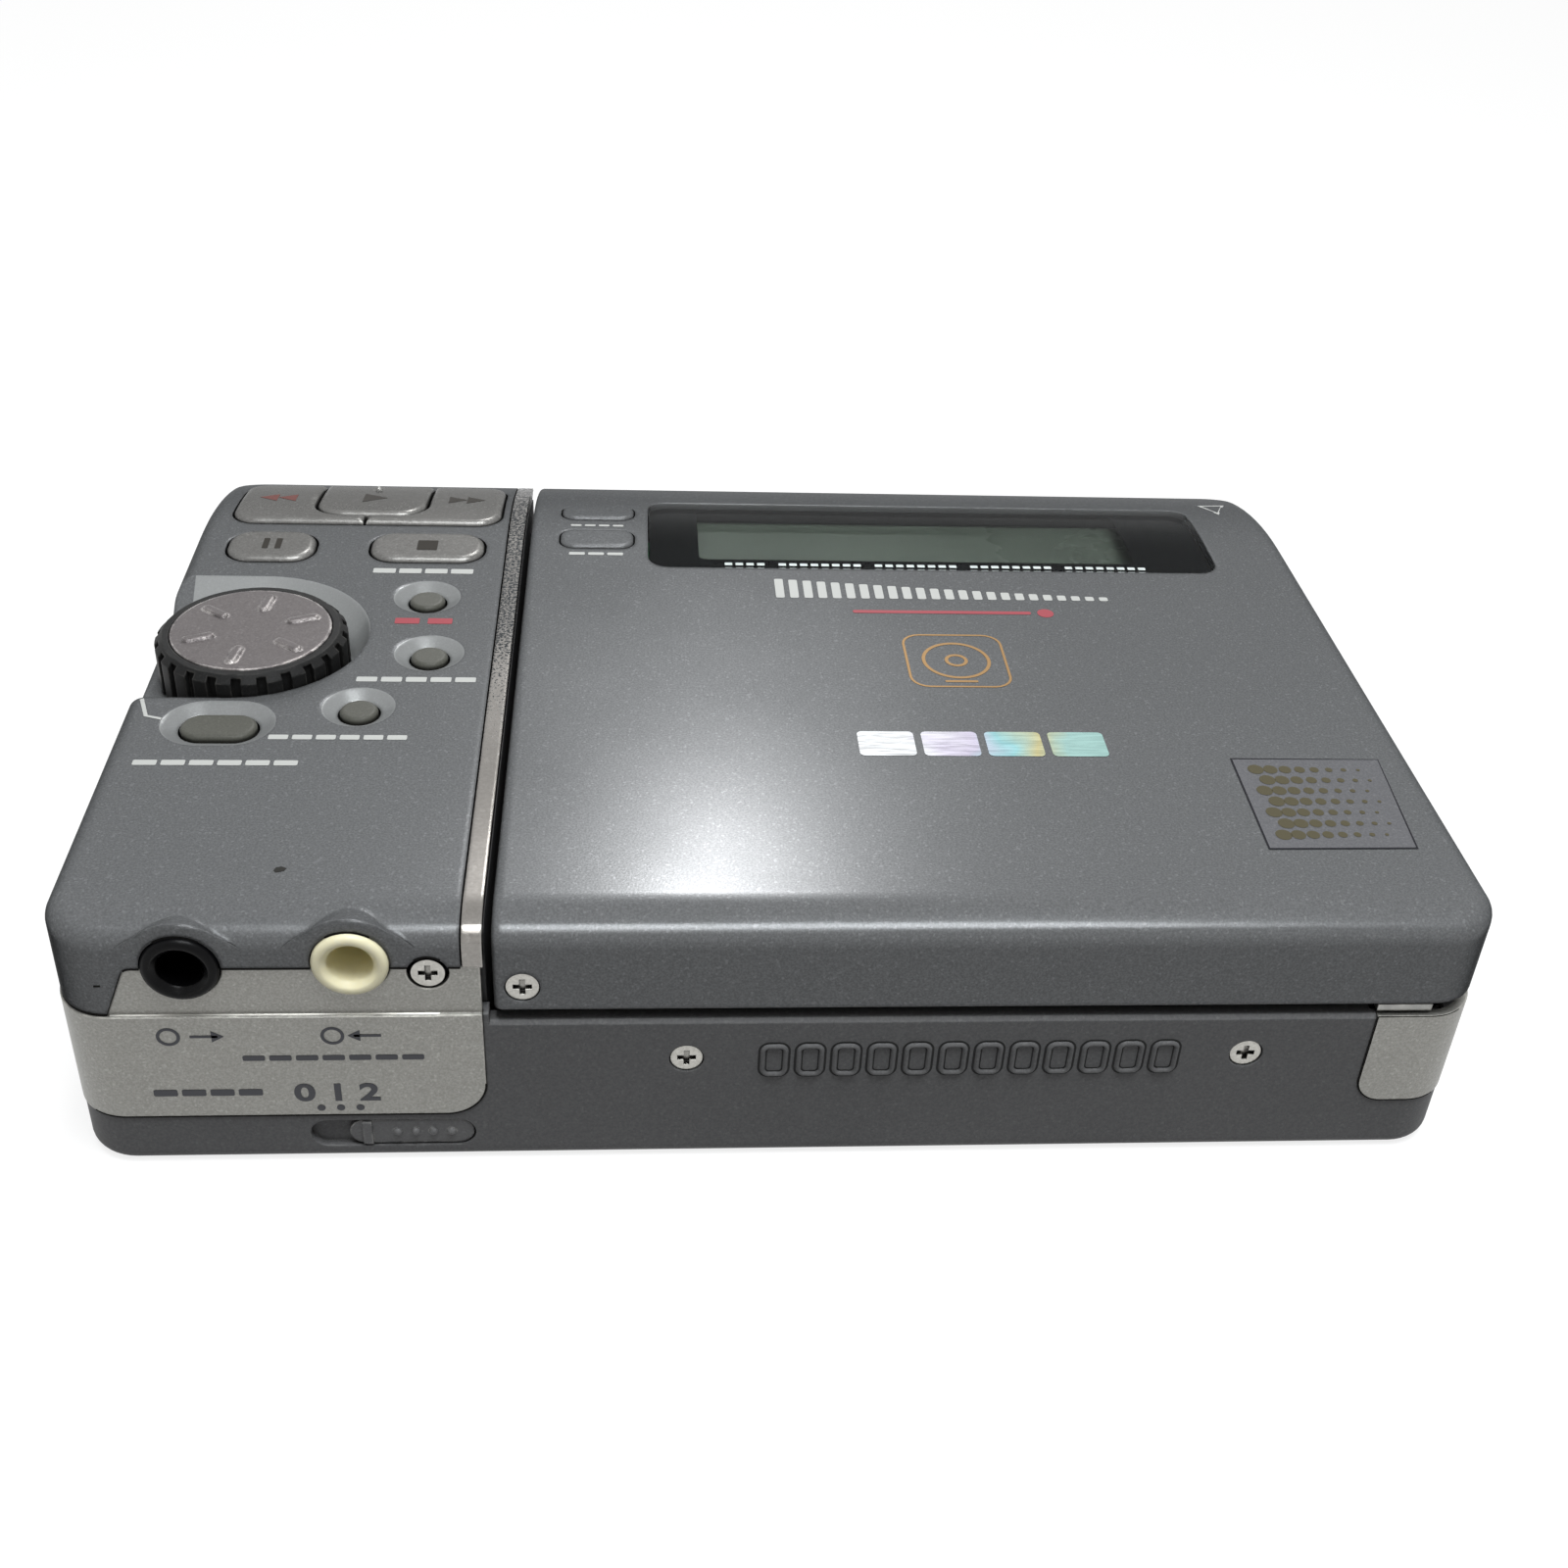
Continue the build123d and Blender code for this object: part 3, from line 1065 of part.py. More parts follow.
# ---------------------------------------------------------------- sockets

def socket_y(x, z):
    """Round socket facing the back: collar, barrel and a chamfered bore."""
    y = -JACK_PROUD
    collar = rod_y(x, z, JACK_R, (y, y + 1.9))
    front = collar.faces().sort_by(Axis.Y)[0]
    collar = fillet(front.edges(), 0.5)
    barrel = rod_y(x, z, JACK_BODY_R, (y + 1.8, y + JACK_LENGTH + 1.5))
    socket = collar + barrel - rod_y(x, z, JACK_BORE_R, (y - 1, y + JACK_LENGTH))
    upright = (Align.CENTER, Align.CENTER, Align.MIN)
    mouth = Cone(JACK_BORE_R + 0.45, JACK_BORE_R, 0.45, align=upright)
    return socket - Pos(x, y - 0.01, z) * Rot(-90, 0, 0) * mouth


def output_jack():
    return socket_y(OUTPUT_X, OUTPUT_Z)


def input_jack():
    return socket_y(INPUT_X, INPUT_Z)


def front_jacks():
    """Phone and microphone sockets in the front face."""
    jacks = []
    for x in FRONT_JACKS_X:
        collar = rod_y(x, FRONT_JACK_Z, JACK_R, (DEPTH - 1.6, DEPTH))
        barrel = rod_y(x, FRONT_JACK_Z, JACK_BODY_R, (DEPTH - FRONT_JACK_LENGTH - 1, DEPTH - 1.5))
        bore = rod_y(x, FRONT_JACK_Z, JACK_BORE_R, (DEPTH - FRONT_JACK_LENGTH, DEPTH + 1))
        jacks.append(collar + barrel - bore)
    return Compound(children=jacks)


def dc_jack():
    """Power socket with a centre pin, in the front face; its body stands on the floor."""
    z = FRONT_JACK_Z
    collar = rod_y(DC_X, z, DC_R, (DEPTH - BASE_WALL - 0.2, DEPTH))
    body_y = (DEPTH - DC_DEEP - 1.0, DEPTH - BASE_WALL - FIT)
    body = block((DC_X - 3.3, DC_X + 3.3), body_y, (FLOOR, z + 3.2))
    socket = collar + body - rod_y(DC_X, z, DC_BORE_R, (DEPTH - DC_DEEP, DEPTH + 1))
    return socket + rod_y(DC_X, z, DC_PIN_R, (DEPTH - DC_DEEP - 0.2, DEPTH - 1.0))


# ---------------------------------------------------------------- sliders

def slider_knob(x, z, length, stem_x):
    """Knob in a shallow slot, with a stem through the wall and a clip behind it."""
    knob = slot_front(x, z, length, SLIDE_SLOT_H - 0.3, (KNOB_SUNK, SLIDE_SLOT_DEEP - 0.1))
    stem_y = (SLIDE_SLOT_DEEP - 0.2, BASE_WALL + 0.3)
    stem = block((stem_x - 1.2, stem_x + 1.2), stem_y, (z - 0.5, z + 0.5))
    clip_y = (BASE_WALL + 0.15, BASE_WALL + 0.7)
    clip = block((stem_x - 1.6, stem_x + 1.6), clip_y, (z - 1.0, z + 1.0))
    return knob + stem + clip


def bass_knob():
    """Three-place slider: a raised bar marks the place, four bumps give grip."""
    right = BASS_SLOT_X[1] - PLAY
    knob = slider_knob(right - BASS_KNOB_L / 2, SLIDE_Z, BASS_KNOB_L, BASS_MIDDLE + BASS_TRAVEL / 2)
    bar_x = right - BASS_KNOB_L + 1.5
    knob += block((bar_x - 0.4, bar_x + 0.4), (-0.1, 0.3), (SLIDE_Z - 1.25, SLIDE_Z + 1.25))
    for i in range(4):
        knob += Pos(right - 1.9 - 1.5 * i, 0.2, SLIDE_Z) * Sphere(0.4)
    return knob


def front_slider(x):
    """Two-place slider in the front face."""
    knob = slider_knob(x, OPEN_Z, SLIDER_KNOB_L, x)
    for i in range(5):
        ridge_x = x - 2.0 + i
        knob += block((ridge_x - 0.2, ridge_x + 0.2), (0.0, 0.3), (OPEN_Z - 1.1, OPEN_Z + 1.1))
    return to_front(knob)


def to_front(part):
    """Mirror a part from the back face to the front face."""
    return Pos(0, DEPTH, 0) * mirror(part, Plane.XZ)


def open_slider():
    """Wide ribbed slider that frees the lid."""
    knob_y = (KNOB_SUNK, SLIDE_SLOT_DEEP - 0.1)
    knob = slot_front(OPEN_X, OPEN_Z, OPEN_LENGTH, OPEN_HEIGHT - 2 * PLAY, knob_y)
    stem_y = (SLIDE_SLOT_DEEP - 0.2, BASE_WALL + 0.15)
    stem = block((OPEN_X - 3.0, OPEN_X + 3.0), stem_y, (OPEN_Z - 1.0, OPEN_Z + 1.0))
    knob += stem
    for i in range(7):
        ridge_x = OPEN_X - 4.5 + 1.5 * i
        knob += block((ridge_x - 0.3, ridge_x + 0.3), (0.0, 0.3), (OPEN_Z - 1.7, OPEN_Z + 1.7))
    return to_front(knob)


def latch_hook():
    """Steel slide behind the front wall; its nose holds down the lid's tab."""
    bar_y = (LATCH_Y[1] + 0.45, DEPTH - BASE_WALL - 0.15)
    bar = block((OPEN_X - 6, OPEN_X + 3.4), bar_y, (OPEN_Z - 1.6, OPEN_Z + 3.4))
    nose = block((OPEN_X - 2.4, OPEN_X + 0.4), (LATCH_Y[0], bar_y[0] + 0.1), (OPEN_Z + 1.4, OPEN_Z + 3.0))
    return bar + nose


def slide_switches():
    """Switch bodies behind the bass, record and hold sliders."""
    bass_y = (BASE_WALL + 1.0, BASE_WALL + 5.0)
    bass = block((BASS_MIDDLE - 6, BASS_MIDDLE + 6), bass_y, (FLOOR, SLIDE_Z + 2.6))
    bodies = [bass]
    back = (DEPTH - BASE_WALL - 3.4, DEPTH - BASE_WALL - 1.0)
    for x in (RECORD_X, HOLD_X):
        body_x = x - SLIDER_TRAVEL / 2
        bodies.append(block((body_x - 5, body_x + 5), back, (OPEN_Z - 2, OPEN_Z + 2)))
    return Compound(children=bodies)


# ---------------------------------------------------------------- power

def battery():
    """Flat rechargeable pack."""
    y = (BATTERY_BACK, BATTERY_BACK + BATTERY_LENGTH)
    x = (BATTERY_X, BATTERY_X + BATTERY_WIDTH)
    pack = block(x, y, (BOARD_Z, BOARD_Z + BATTERY_THICK))
    return fillet(pack.edges().filter_by(Axis.Y), 1.5)


def battery_contacts():
    """Two bent spring contacts at the pack's inner edge."""
    inner = BATTERY_X + BATTERY_WIDTH
    springs = []
    for y in (BATTERY_BACK + 10, BATTERY_BACK + BATTERY_LENGTH - 10):
        leaf = block((inner, inner + 0.4), (y - 2, y + 2), (5, SHELF_Z - 2))
        tail = block((inner, inner + 1.6), (y - 2, y + 2), (SHELF_Z - 2.4, SHELF_Z - 2))
        springs.append(leaf + tail)
    return Compound(children=springs)


def battery_door():
    """Side door that turns on two pegs along its lower edge."""
    door = block((0, DOOR_T), DOOR_Y, (DOOR_HINGE_Z, DOOR_TOP))
    door += rod_y(DOOR_HINGE_R, DOOR_HINGE_Z, DOOR_HINGE_R, DOOR_Y)
    peg_y = (DOOR_Y[0] - 0.8, DOOR_Y[1] + 0.8)
    door += rod_y(DOOR_HINGE_R, DOOR_HINGE_Z, PIN_R, peg_y)
    grip_y = (DOOR_Y[0] + DOOR_Y[1]) / 2
    return door - rod_y(-0.9, DOOR_TOP - 2.0, 1.5, (grip_y - 5, grip_y + 5))


# ---------------------------------------------------------------- drive

def main_board():
    """Large board on the base's floor."""
    edge = BASE_WALL + 0.6
    board = prism(plan(edge), (BOARD_Z, BOARD_Z + BOARD_T))
    board &= block((WALL_X[1] + 0.4, WIDTH), (0, DEPTH), (0, HEIGHT))
    for x, y in BOTTOM_SCREWS:
        board -= rod_z(x, y, BOTTOM_BOSS_R + FIT, (0, 10))
    feet = [(DISC_X, 14.0), (DISC_X, DEPTH - 14.0)]
    for x, y in feet:
        board += rod_z(x, y, 2.0, (FLOOR, BOARD_Z + 0.1))
    return board


def chip(x, y, width, depth, z):
    """Flat package centred on a point."""
    return block((x - width / 2, x + width / 2), (y - depth / 2, y + depth / 2), z)


def board_chips():
    """Processor, memory and driver packages on the main board."""
    z = (BOARD_Z + BOARD_T, BOARD_Z + BOARD_T + CHIP_T)
    left = WALL_X[1] + 16.0
    right = WIDTH - 18.0
    back = BASE_WALL + 18.0
    front = DEPTH - 18.0
    processor = chip(left, back, 14.0, 14.0, z)
    memory = chip(left, front, 10.0, 14.0, z)
    converter = chip(DISC_X - 4.0, front, 8.0, 12.0, z)
    driver = chip(right, back, 12.0, 12.0, z)
    regulator = chip(right, front, 9.0, 9.0, z)
    return Compound(children=[processor, memory, converter, driver, regulator])


def deck_plate():
    """Steel plate that carries the motor, rods and sled."""
    inset = PLAY
    x = shrink(BAY_X, inset)
    plate = block(x, (FRAME_BACK + 1.4 + inset, BAY_FRONT + 1.0 - inset), (DECK_Z, DECK_TOP))
    plate -= rod_z(DISC_X, SPINDLE_Y, 5.0, (0, HEIGHT))
    slot_x = (SLED_X - 4.0, SLED_X + SLED_LENGTH + SLED_TRAVEL + 1)
    plate -= block(slot_x, (SPINDLE_Y - 9.5, SPINDLE_Y + 9.5), (0, HEIGHT))
    plate -= prism(Pos(DISC_X - 20, SPINDLE_Y + 22) * SlotOverall(16, 7), (0, HEIGHT))
    plate -= prism(Pos(DISC_X - 20, SPINDLE_Y - 22) * SlotOverall(16, 7), (0, HEIGHT))
    # saddles under both ends of each rod
    for y in RAIL_Y:
        for x0 in SADDLE_X:
            plate += block((x0 - 0.9, x0 + 0.9), (y - 1.4, y + 1.4), (DECK_TOP - 0.1, RAIL_Z))
            plate -= rod_x(y, RAIL_Z, ROD_R, (x0 - 2, x0 + 2))
    # bearing for the lead screw's far end
    end = LEAD_X[1]
    plate += block((end - 0.4, end + 1.0), (LEAD_Y - 1.4, LEAD_Y + 1.4), (DECK_TOP - 0.1, LEAD_Z + 1.5))
    plate -= rod_x(LEAD_Y, LEAD_Z, SCREW_END_R + RUNNING, (end - 1.5, end + 0.75))
    return plate


def spindle_motor():
    """Flat motor under the deck plate, fixed by its flange, with the spindle shaft."""
    can = rod_z(DISC_X, SPINDLE_Y, MOTOR_R, (DECK_Z - MOTOR_T, DECK_Z))
    neck = rod_z(DISC_X, SPINDLE_Y, 4.0, (DECK_Z - 0.1, DECK_TOP + 0.5))
    shaft = rod_z(DISC_X, SPINDLE_Y, SPINDLE_R, (DECK_Z, HOLDER_BOTTOM + 0.6))
    return can + neck + shaft


def turntable():
    """Disc with a raised, bevelled hub that centres and clamps the disc's plate."""
    z = (DECK_TOP + 0.9, DECK_TOP + 2.1)
    table = rod_z(DISC_X, SPINDLE_Y, TURNTABLE_R, z)
    hub = rod_z(DISC_X, SPINDLE_Y, HUB_R, (z[0], HOLDER_BOTTOM + 0.9))
    hub = chamfer(hub.faces().sort_by(Axis.Z)[-1].edges(), 0.5)
    table += hub
    return table - rod_z(DISC_X, SPINDLE_Y, SPINDLE_R + RUNNING, (0, HEIGHT))


def guide_rods():
    """Two steel rods for the sled."""
    x = shrink(SADDLE_X, -0.9)
    return Compound(children=[rod_x(y, RAIL_Z, ROD_R, x) for y in RAIL_Y])


def optical_pickup():
    """Sled with its lens, bushes on the rods and a half nut beside the screw."""
    x = (SLED_X, SLED_X + SLED_LENGTH)
    z = (DECK_Z - 0.4, DECK_TOP + SLED_T - 0.3)
    sled = block(x, (SPINDLE_Y - 9.0, SPINDLE_Y + 9.0), z)
    sled = chamfer(sled.edges().filter_by(Axis.Z), 1.5)
    for y, side in zip(RAIL_Y, (-1, 1)):
        arm_y = sorted((SPINDLE_Y + side * 8.9, y + side * 1.5))
        sled += block(shrink(x, 2), arm_y, (DECK_TOP + 0.3, RAIL_Z + 1.3))
        sled -= rod_x(y, RAIL_Z, ROD_R + RUNNING, x)
    # tongue that reaches the lead screw
    tongue_y = (RAIL_Y[1] + 1.4, LEAD_Y - SCREW_R - 0.2)
    sled += block(shrink(x, 2), tongue_y, (DECK_TOP + 0.3, LEAD_Z + 1.0))
    lens = rod_z(SLED_X + SLED_LENGTH / 2, SPINDLE_Y, LENS_R, (z[1] - 0.1, z[1] + 0.5))
    ring = rod_z(SLED_X + SLED_LENGTH / 2, SPINDLE_Y, LENS_R + 1.2, (z[1] - 0.1, z[1] + 0.25))
    return sled + ring + lens


def lead_screw():
    """Screw that drives the sled; its thread is a row of ridges."""
    rod = rod_x(LEAD_Y, LEAD_Z, SCREW_CORE_R, (LEAD_X[0] + 2, LEAD_X[1] - 0.6))
    rod += rod_x(LEAD_Y, LEAD_Z, SCREW_END_R, (LEAD_X[0], LEAD_X[1] + 0.5))
    count = int((LEAD_X[1] - LEAD_X[0] - 4) / SCREW_PITCH)
    for i in range(count):
        start = LEAD_X[0] + 2.5 + i * SCREW_PITCH
        rod += rod_x(LEAD_Y, LEAD_Z, SCREW_R, (start, start + SCREW_PITCH / 2))
    return rod


def sled_motor():
    """Small motor whose shaft turns the lead screw."""
    end = LEAD_X[0]
    half = SLED_MOTOR_SIZE[1] / 2
    can = block((end - SLED_MOTOR_SIZE[0], end), (LEAD_Y - half, LEAD_Y + half), (DECK_TOP, LEAD_Z + 1.4))
    return can - rod_x(LEAD_Y, LEAD_Z, SCREW_END_R + RUNNING, (end - 0.5, end + 1))


def magnetic_head():
    """Recording head on its carriage, above the slot in the disc holder."""
    z = (HOLDER_TOP + 0.1, LID_SEAM + 0.4)
    x = (SLED_X, SLED_X + SLED_LENGTH)
    carriage = block(x, (SPINDLE_Y - 7.0, SPINDLE_Y + 7.0), z)
    pad_z = (HOLDER_TOP - SHEET + RUNNING, z[0] + 0.1)
    pad = block(shrink(x, 1.5), (SPINDLE_Y - 3, SPINDLE_Y + 3), pad_z)
    return carriage + pad


# ---------------------------------------------------------------- write the parts

PARTS = {
    "base_shell": base_shell,
    "side_frame": side_frame,
    "deck_frame": deck_frame,
    "hinge_brackets": hinge_brackets,
    "hinge_pins": hinge_pins,
    "jack_plate": jack_plate,
    "corner_plate": corner_plate,
    "control_cover": control_cover,
    "divider_trim": divider_trim,
    "case_screws": case_screws,
    "cover_screw": cover_screw,
    "lid_screw": lid_screw,
    "lid_shell": lid_shell,
    "lid_frame": lid_frame,
    "disc_holder": disc_holder,
    "lcd_window": lcd_window,
    "lcd_panel": lcd_panel,
    "lcd_board": lcd_board,
    "lid_switches": lid_switches,
    "mode_button": lambda: lid_key(LID_KEY_Y[1]),
    "display_button": lambda: lid_key(LID_KEY_Y[0]),
    "dial_wheel": dial_wheel,
    "dial_cap": dial_cap,
    "dial_encoder": dial_encoder,
    "play_button": play_button,
    "rewind_button": rewind_button,
    "forward_button": forward_button,
    "pause_button": pause_button,
    "stop_button": stop_button,
    "erase_button": lambda: round_key(ERASE),
    "end_search_button": lambda: round_key(END_SEARCH),
    "track_mark_button": lambda: round_key(TRACK_MARK),
    "title_button": title_button,
    "control_board": control_board,
    "key_switches": key_switches,
    "output_jack": output_jack,
    "input_jack": input_jack,
    "front_jacks": front_jacks,
    "dc_jack": dc_jack,
    "bass_knob": bass_knob,
    "record_slider": lambda: front_slider(RECORD_X),
    "hold_slider": lambda: front_slider(HOLD_X),
    "open_slider": open_slider,
    "latch_hook": latch_hook,
    "slide_switches": slide_switches,
    "battery": battery,
    "battery_contacts": battery_contacts,
    "battery_door": battery_door,
    "main_board": main_board,
    "board_chips": board_chips,
    "deck_plate": deck_plate,
    "spindle_motor": spindle_motor,
    "turntable": turntable,
    "guide_rods": guide_rods,
    "optical_pickup": optical_pickup,
    "lead_screw": lead_screw,
    "sled_motor": sled_motor,
    "magnetic_head": magnetic_head,
}

os.makedirs("parts", exist_ok=True)
for part_name, make in PARTS.items():
    save(make(), part_name)
    print(part_name)
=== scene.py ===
# %% [markdown]
# # A pocket disc recorder
#
# This file dresses a finished CAD model of a pocket disc recorder. The solids come in as a fixed
# frame. Each cell below adds one finish, or one small piece that was too thin to be worth a solid.
# The recorder lies flat with its lid shut, its sockets towards us and its display at the far side.

# %% Load the frame
import math
import bmesh
import bpy
from mathutils import Matrix, Vector
from mathutils.bvhtree import BVHTree


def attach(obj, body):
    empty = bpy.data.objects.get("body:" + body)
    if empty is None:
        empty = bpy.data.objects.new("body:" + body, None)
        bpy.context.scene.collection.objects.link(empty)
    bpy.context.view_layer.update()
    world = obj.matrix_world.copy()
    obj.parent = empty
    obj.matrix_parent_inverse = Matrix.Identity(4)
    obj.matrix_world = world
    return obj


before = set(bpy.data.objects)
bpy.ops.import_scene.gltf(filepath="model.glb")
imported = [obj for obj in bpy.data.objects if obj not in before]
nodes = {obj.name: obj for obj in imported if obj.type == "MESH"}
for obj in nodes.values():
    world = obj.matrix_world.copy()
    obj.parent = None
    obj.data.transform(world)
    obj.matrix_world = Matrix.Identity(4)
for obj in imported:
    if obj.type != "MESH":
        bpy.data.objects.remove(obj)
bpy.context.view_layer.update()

# %% [markdown]
# ## Where things are
#
# The CAD was drawn from one corner of the case, in millimetres, and then centred. It is easier to
# place a print or a mark by the same corner, so one small function turns those millimetres into the
# metres that Blender uses here.

# %% Millimetres from the corner of the case
CASE_MIDDLE = (59.0, 42.75)


def at(x, y, z):
    """A point given in millimetres from the case's back left corner."""
    return Vector(((x - CASE_MIDDLE[0]) / 1000, (y - CASE_MIDDLE[1]) / 1000, z / 1000))


print("front right corner of the case:", at(118, 86, 0))

# %% [markdown]
# ## Camera
#
# The camera stands a hand's breadth from the sockets and looks down at about 35 degrees, so the
# top looks broad and the back face still shows. A long corner of the case must stay straight, so
# the lens has no shift and no blur. The three axes are built by hand, because its small tilt is
# easiest to give as a turn about the line of sight.

# %% Camera
PITCH = math.radians(34.72)
YAW = math.radians(5.57)
TILT = math.radians(3.34)
CAMERA_PLACE = (-0.012551, -0.155917, 0.118055)

forward = Vector((math.sin(YAW) * math.cos(PITCH), math.cos(YAW) * math.cos(PITCH), -math.sin(PITCH)))
level = Vector((math.cos(YAW), -math.sin(YAW), 0))
upward = level.cross(forward)
across = level * math.cos(TILT) + upward * math.sin(TILT)
upright = upward * math.cos(TILT) - level * math.sin(TILT)

camera_data = bpy.data.cameras.new("camera")
camera_data.sensor_width = 36
camera_data.lens = 42.43
camera_data.clip_start = 0.005
camera = bpy.data.objects.new("camera", camera_data)
bpy.context.scene.collection.objects.link(camera)
camera.matrix_world = Matrix((
    (across.x, upright.x, -forward.x, CAMERA_PLACE[0]),
    (across.y, upright.y, -forward.y, CAMERA_PLACE[1]),
    (across.z, upright.z, -forward.z, CAMERA_PLACE[2]),
    (0, 0, 0, 1)))
bpy.context.scene.camera = camera
print("lens", camera_data.lens, "mm")

# %% [markdown]
# ## Node helpers
#
# Every finish below is a small node tree, and so are the sky and the floor. These helpers keep the
# cells short. They add a node with its values, do a sum, mix two colours, move a value to another
# range, and make a named group with its own sockets, so that an effect such as grain or edge wear is
# built once and used in many materials.

# %% Node helpers
def shade(code):
    """A colour written as six hex digits, as a linear colour."""
    parts = [int(code[i:i + 2], 16) / 255 for i in (0, 2, 4)]
    linear = [c / 12.92 if c <= 0.04045 else ((c + 0.055) / 1.055) ** 2.4 for c in parts]
    return (*linear, 1)


def feed(tree, socket, value):
    """Link a socket to another node's output, or give it a plain value."""
    if isinstance(value, bpy.types.NodeSocket):
        tree.links.new(value, socket)
    else:
        socket.default_value = value


def add(tree, kind, settings=None, **inputs):
    """A node with its settings and inputs; an input goes by its name, or by its place as _0 or _1."""
    node = tree.nodes.new("ShaderNode" + kind)
    for key, value in (settings or {}).items():
        setattr(node, key, value)
    for key, value in inputs.items():
        by_place = key[0] == "_" and key[1:].isdigit()
        feed(tree, node.inputs[int(key[1:]) if by_place else key.replace("_", " ")], value)
    return node


def maths(tree, operation, *values, clamp=False):
    """Result of one sum on two or three values."""
    node = add(tree, "Math", {"operation": operation, "use_clamp": clamp})
    for socket, value in zip(node.inputs, values):
        feed(tree, socket, value)
    return node.outputs[0]


def mix(tree, amount, a, b):
    """Colour between a and b."""
    node = add(tree, "Mix", {"data_type": "RGBA"})
    for key, value in (("Factor", amount), ("A", a), ("B", b)):
        feed(tree, [s for s in node.inputs if s.name == key and s.enabled][0], value)
    return [s for s in node.outputs if s.name == "Result" and s.enabled][0]


def span(tree, value, low, high, to_low=0.0, to_high=1.0):
    """Value moved from one range to another, held at both ends."""
    node = add(tree, "MapRange", {"clamp": True}, Value=value, From_Min=low, From_Max=high,
               To_Min=to_low, To_Max=to_high)
    return node.outputs["Result"]


def effect(name, takes, gives):
    """A new shader node group with named sockets."""
    group = bpy.data.node_groups.new(name, "ShaderNodeTree")
    for label, kind, value in takes:
        socket = group.interface.new_socket(label, in_out="INPUT", socket_type=kind)
        socket.default_value = value
    for label, kind in gives:
        group.interface.new_socket(label, in_out="OUTPUT", socket_type=kind)
    return group, group.nodes.new("NodeGroupInput").outputs, group.nodes.new("NodeGroupOutput").inputs


def seen_directly(tree):
    """One for rays from the camera, off a mirror or through a clear piece, and nought for the rest."""
    path = add(tree, "LightPath").outputs
    first = maths(tree, "ADD", path["Is Camera Ray"], path["Is Glossy Ray"])
    return maths(tree, "ADD", first, path["Is Transmission Ray"], clamp=True)


FLOAT, COLOUR, VECTOR = "NodeSocketFloat", "NodeSocketColor", "NodeSocketVector"

# %% [markdown]
# ## Light
#
# Grey metallic paint shows its form by soft light that fades across it. One small lamp stands far
# behind the recorder, so that the lid mirrors it as a blurred patch near the sockets. Two wide ones
# hang above it and above our shoulder, and a weak low one fills the face towards us. The world gives
# an even grey, and looks white to the camera and to anything that mirrors it.

# %% Lamps and world
def lamp(name, place, aim, size, power, tone=(1, 1, 1)):
    """Soft square lamp that looks at a point."""
    data = bpy.data.lights.new(name, "AREA")
    data.shape = "RECTANGLE"
    data.size, data.size_y = size
    data.energy = power
    data.color = tone
    piece = bpy.data.objects.new(name, data)
    piece.location = place
    piece.rotation_mode = "QUATERNION"
    piece.rotation_quaternion = (Vector(aim) - Vector(place)).to_track_quat("-Z", "Y")
    bpy.context.scene.collection.objects.link(piece)
    return piece


lamp("lamp_far", (0.048, 0.895, 0.818), (-0.004, -0.035, 0.0256), (0.076, 0.076), 3.7)
lamp("lamp_above", (0.04, -0.125, 0.47), (0, 0, 0.01), (0.26, 0.2), 2.35, (0.955, 0.985, 1))
lamp("lamp_back", (-0.03, -0.42, 0.6), (0, 0, 0.01), (0.16, 0.12), 0.25)
lamp("lamp_near", (0.1, -0.62, 0.2), (0, 0, 0.01), (0.5, 0.3), 0.08, (1, 0.99, 0.97))

world = bpy.data.worlds.new("studio")
bpy.context.scene.world = world
world.use_nodes = True
tree = world.node_tree
tree.nodes.clear()
sky = mix(tree, seen_directly(tree), (0.11, 0.107, 0.103, 1), (1, 1, 1, 1))
shine = add(tree, "Background", Color=sky)
add(tree, "OutputWorld", Surface=shine.outputs[0])
bpy.context.scene.view_settings.view_transform = "Standard"

# %% [markdown]
# ## Metal flake
#
# The lid and the key column are sprayed with a grey paint full of tiny metal flakes. Close up they
# look like fine salt and pepper. A picture of noise could be painted on, but it would stretch over
# the rounded edges. Noise in space, measured on the object itself, keeps the same size everywhere.

# %% Effect: metal flake
group, take, give = effect("metal_flake",
    [("Grain", FLOAT, 5200.0), ("Amount", FLOAT, 0.3), ("Colour", COLOUR, (0.1, 0.1, 0.1, 1)),
     ("Flake", COLOUR, (0.5, 0.5, 0.5, 1))],
    [("Colour", COLOUR)])
place = add(group, "TexCoord").outputs["Object"]
salt = add(group, "TexNoise", Vector=place, Scale=take["Grain"], Detail=2.0, Roughness=0.7)
spots = add(group, "TexVoronoi", Vector=place, Scale=take["Grain"])
spark = maths(group, "GREATER_THAN", spots.outputs["Color"], 0.86)
soft = span(group, salt.outputs["Fac"], 0.36, 0.66)
salted = mix(group, maths(group, "MULTIPLY", soft, take["Amount"]), take["Colour"], take["Flake"])
sparkling = mix(group, maths(group, "MULTIPLY", spark, take["Amount"]), salted, take["Flake"])
group.links.new(sparkling, give["Colour"])
METAL_FLAKE = group
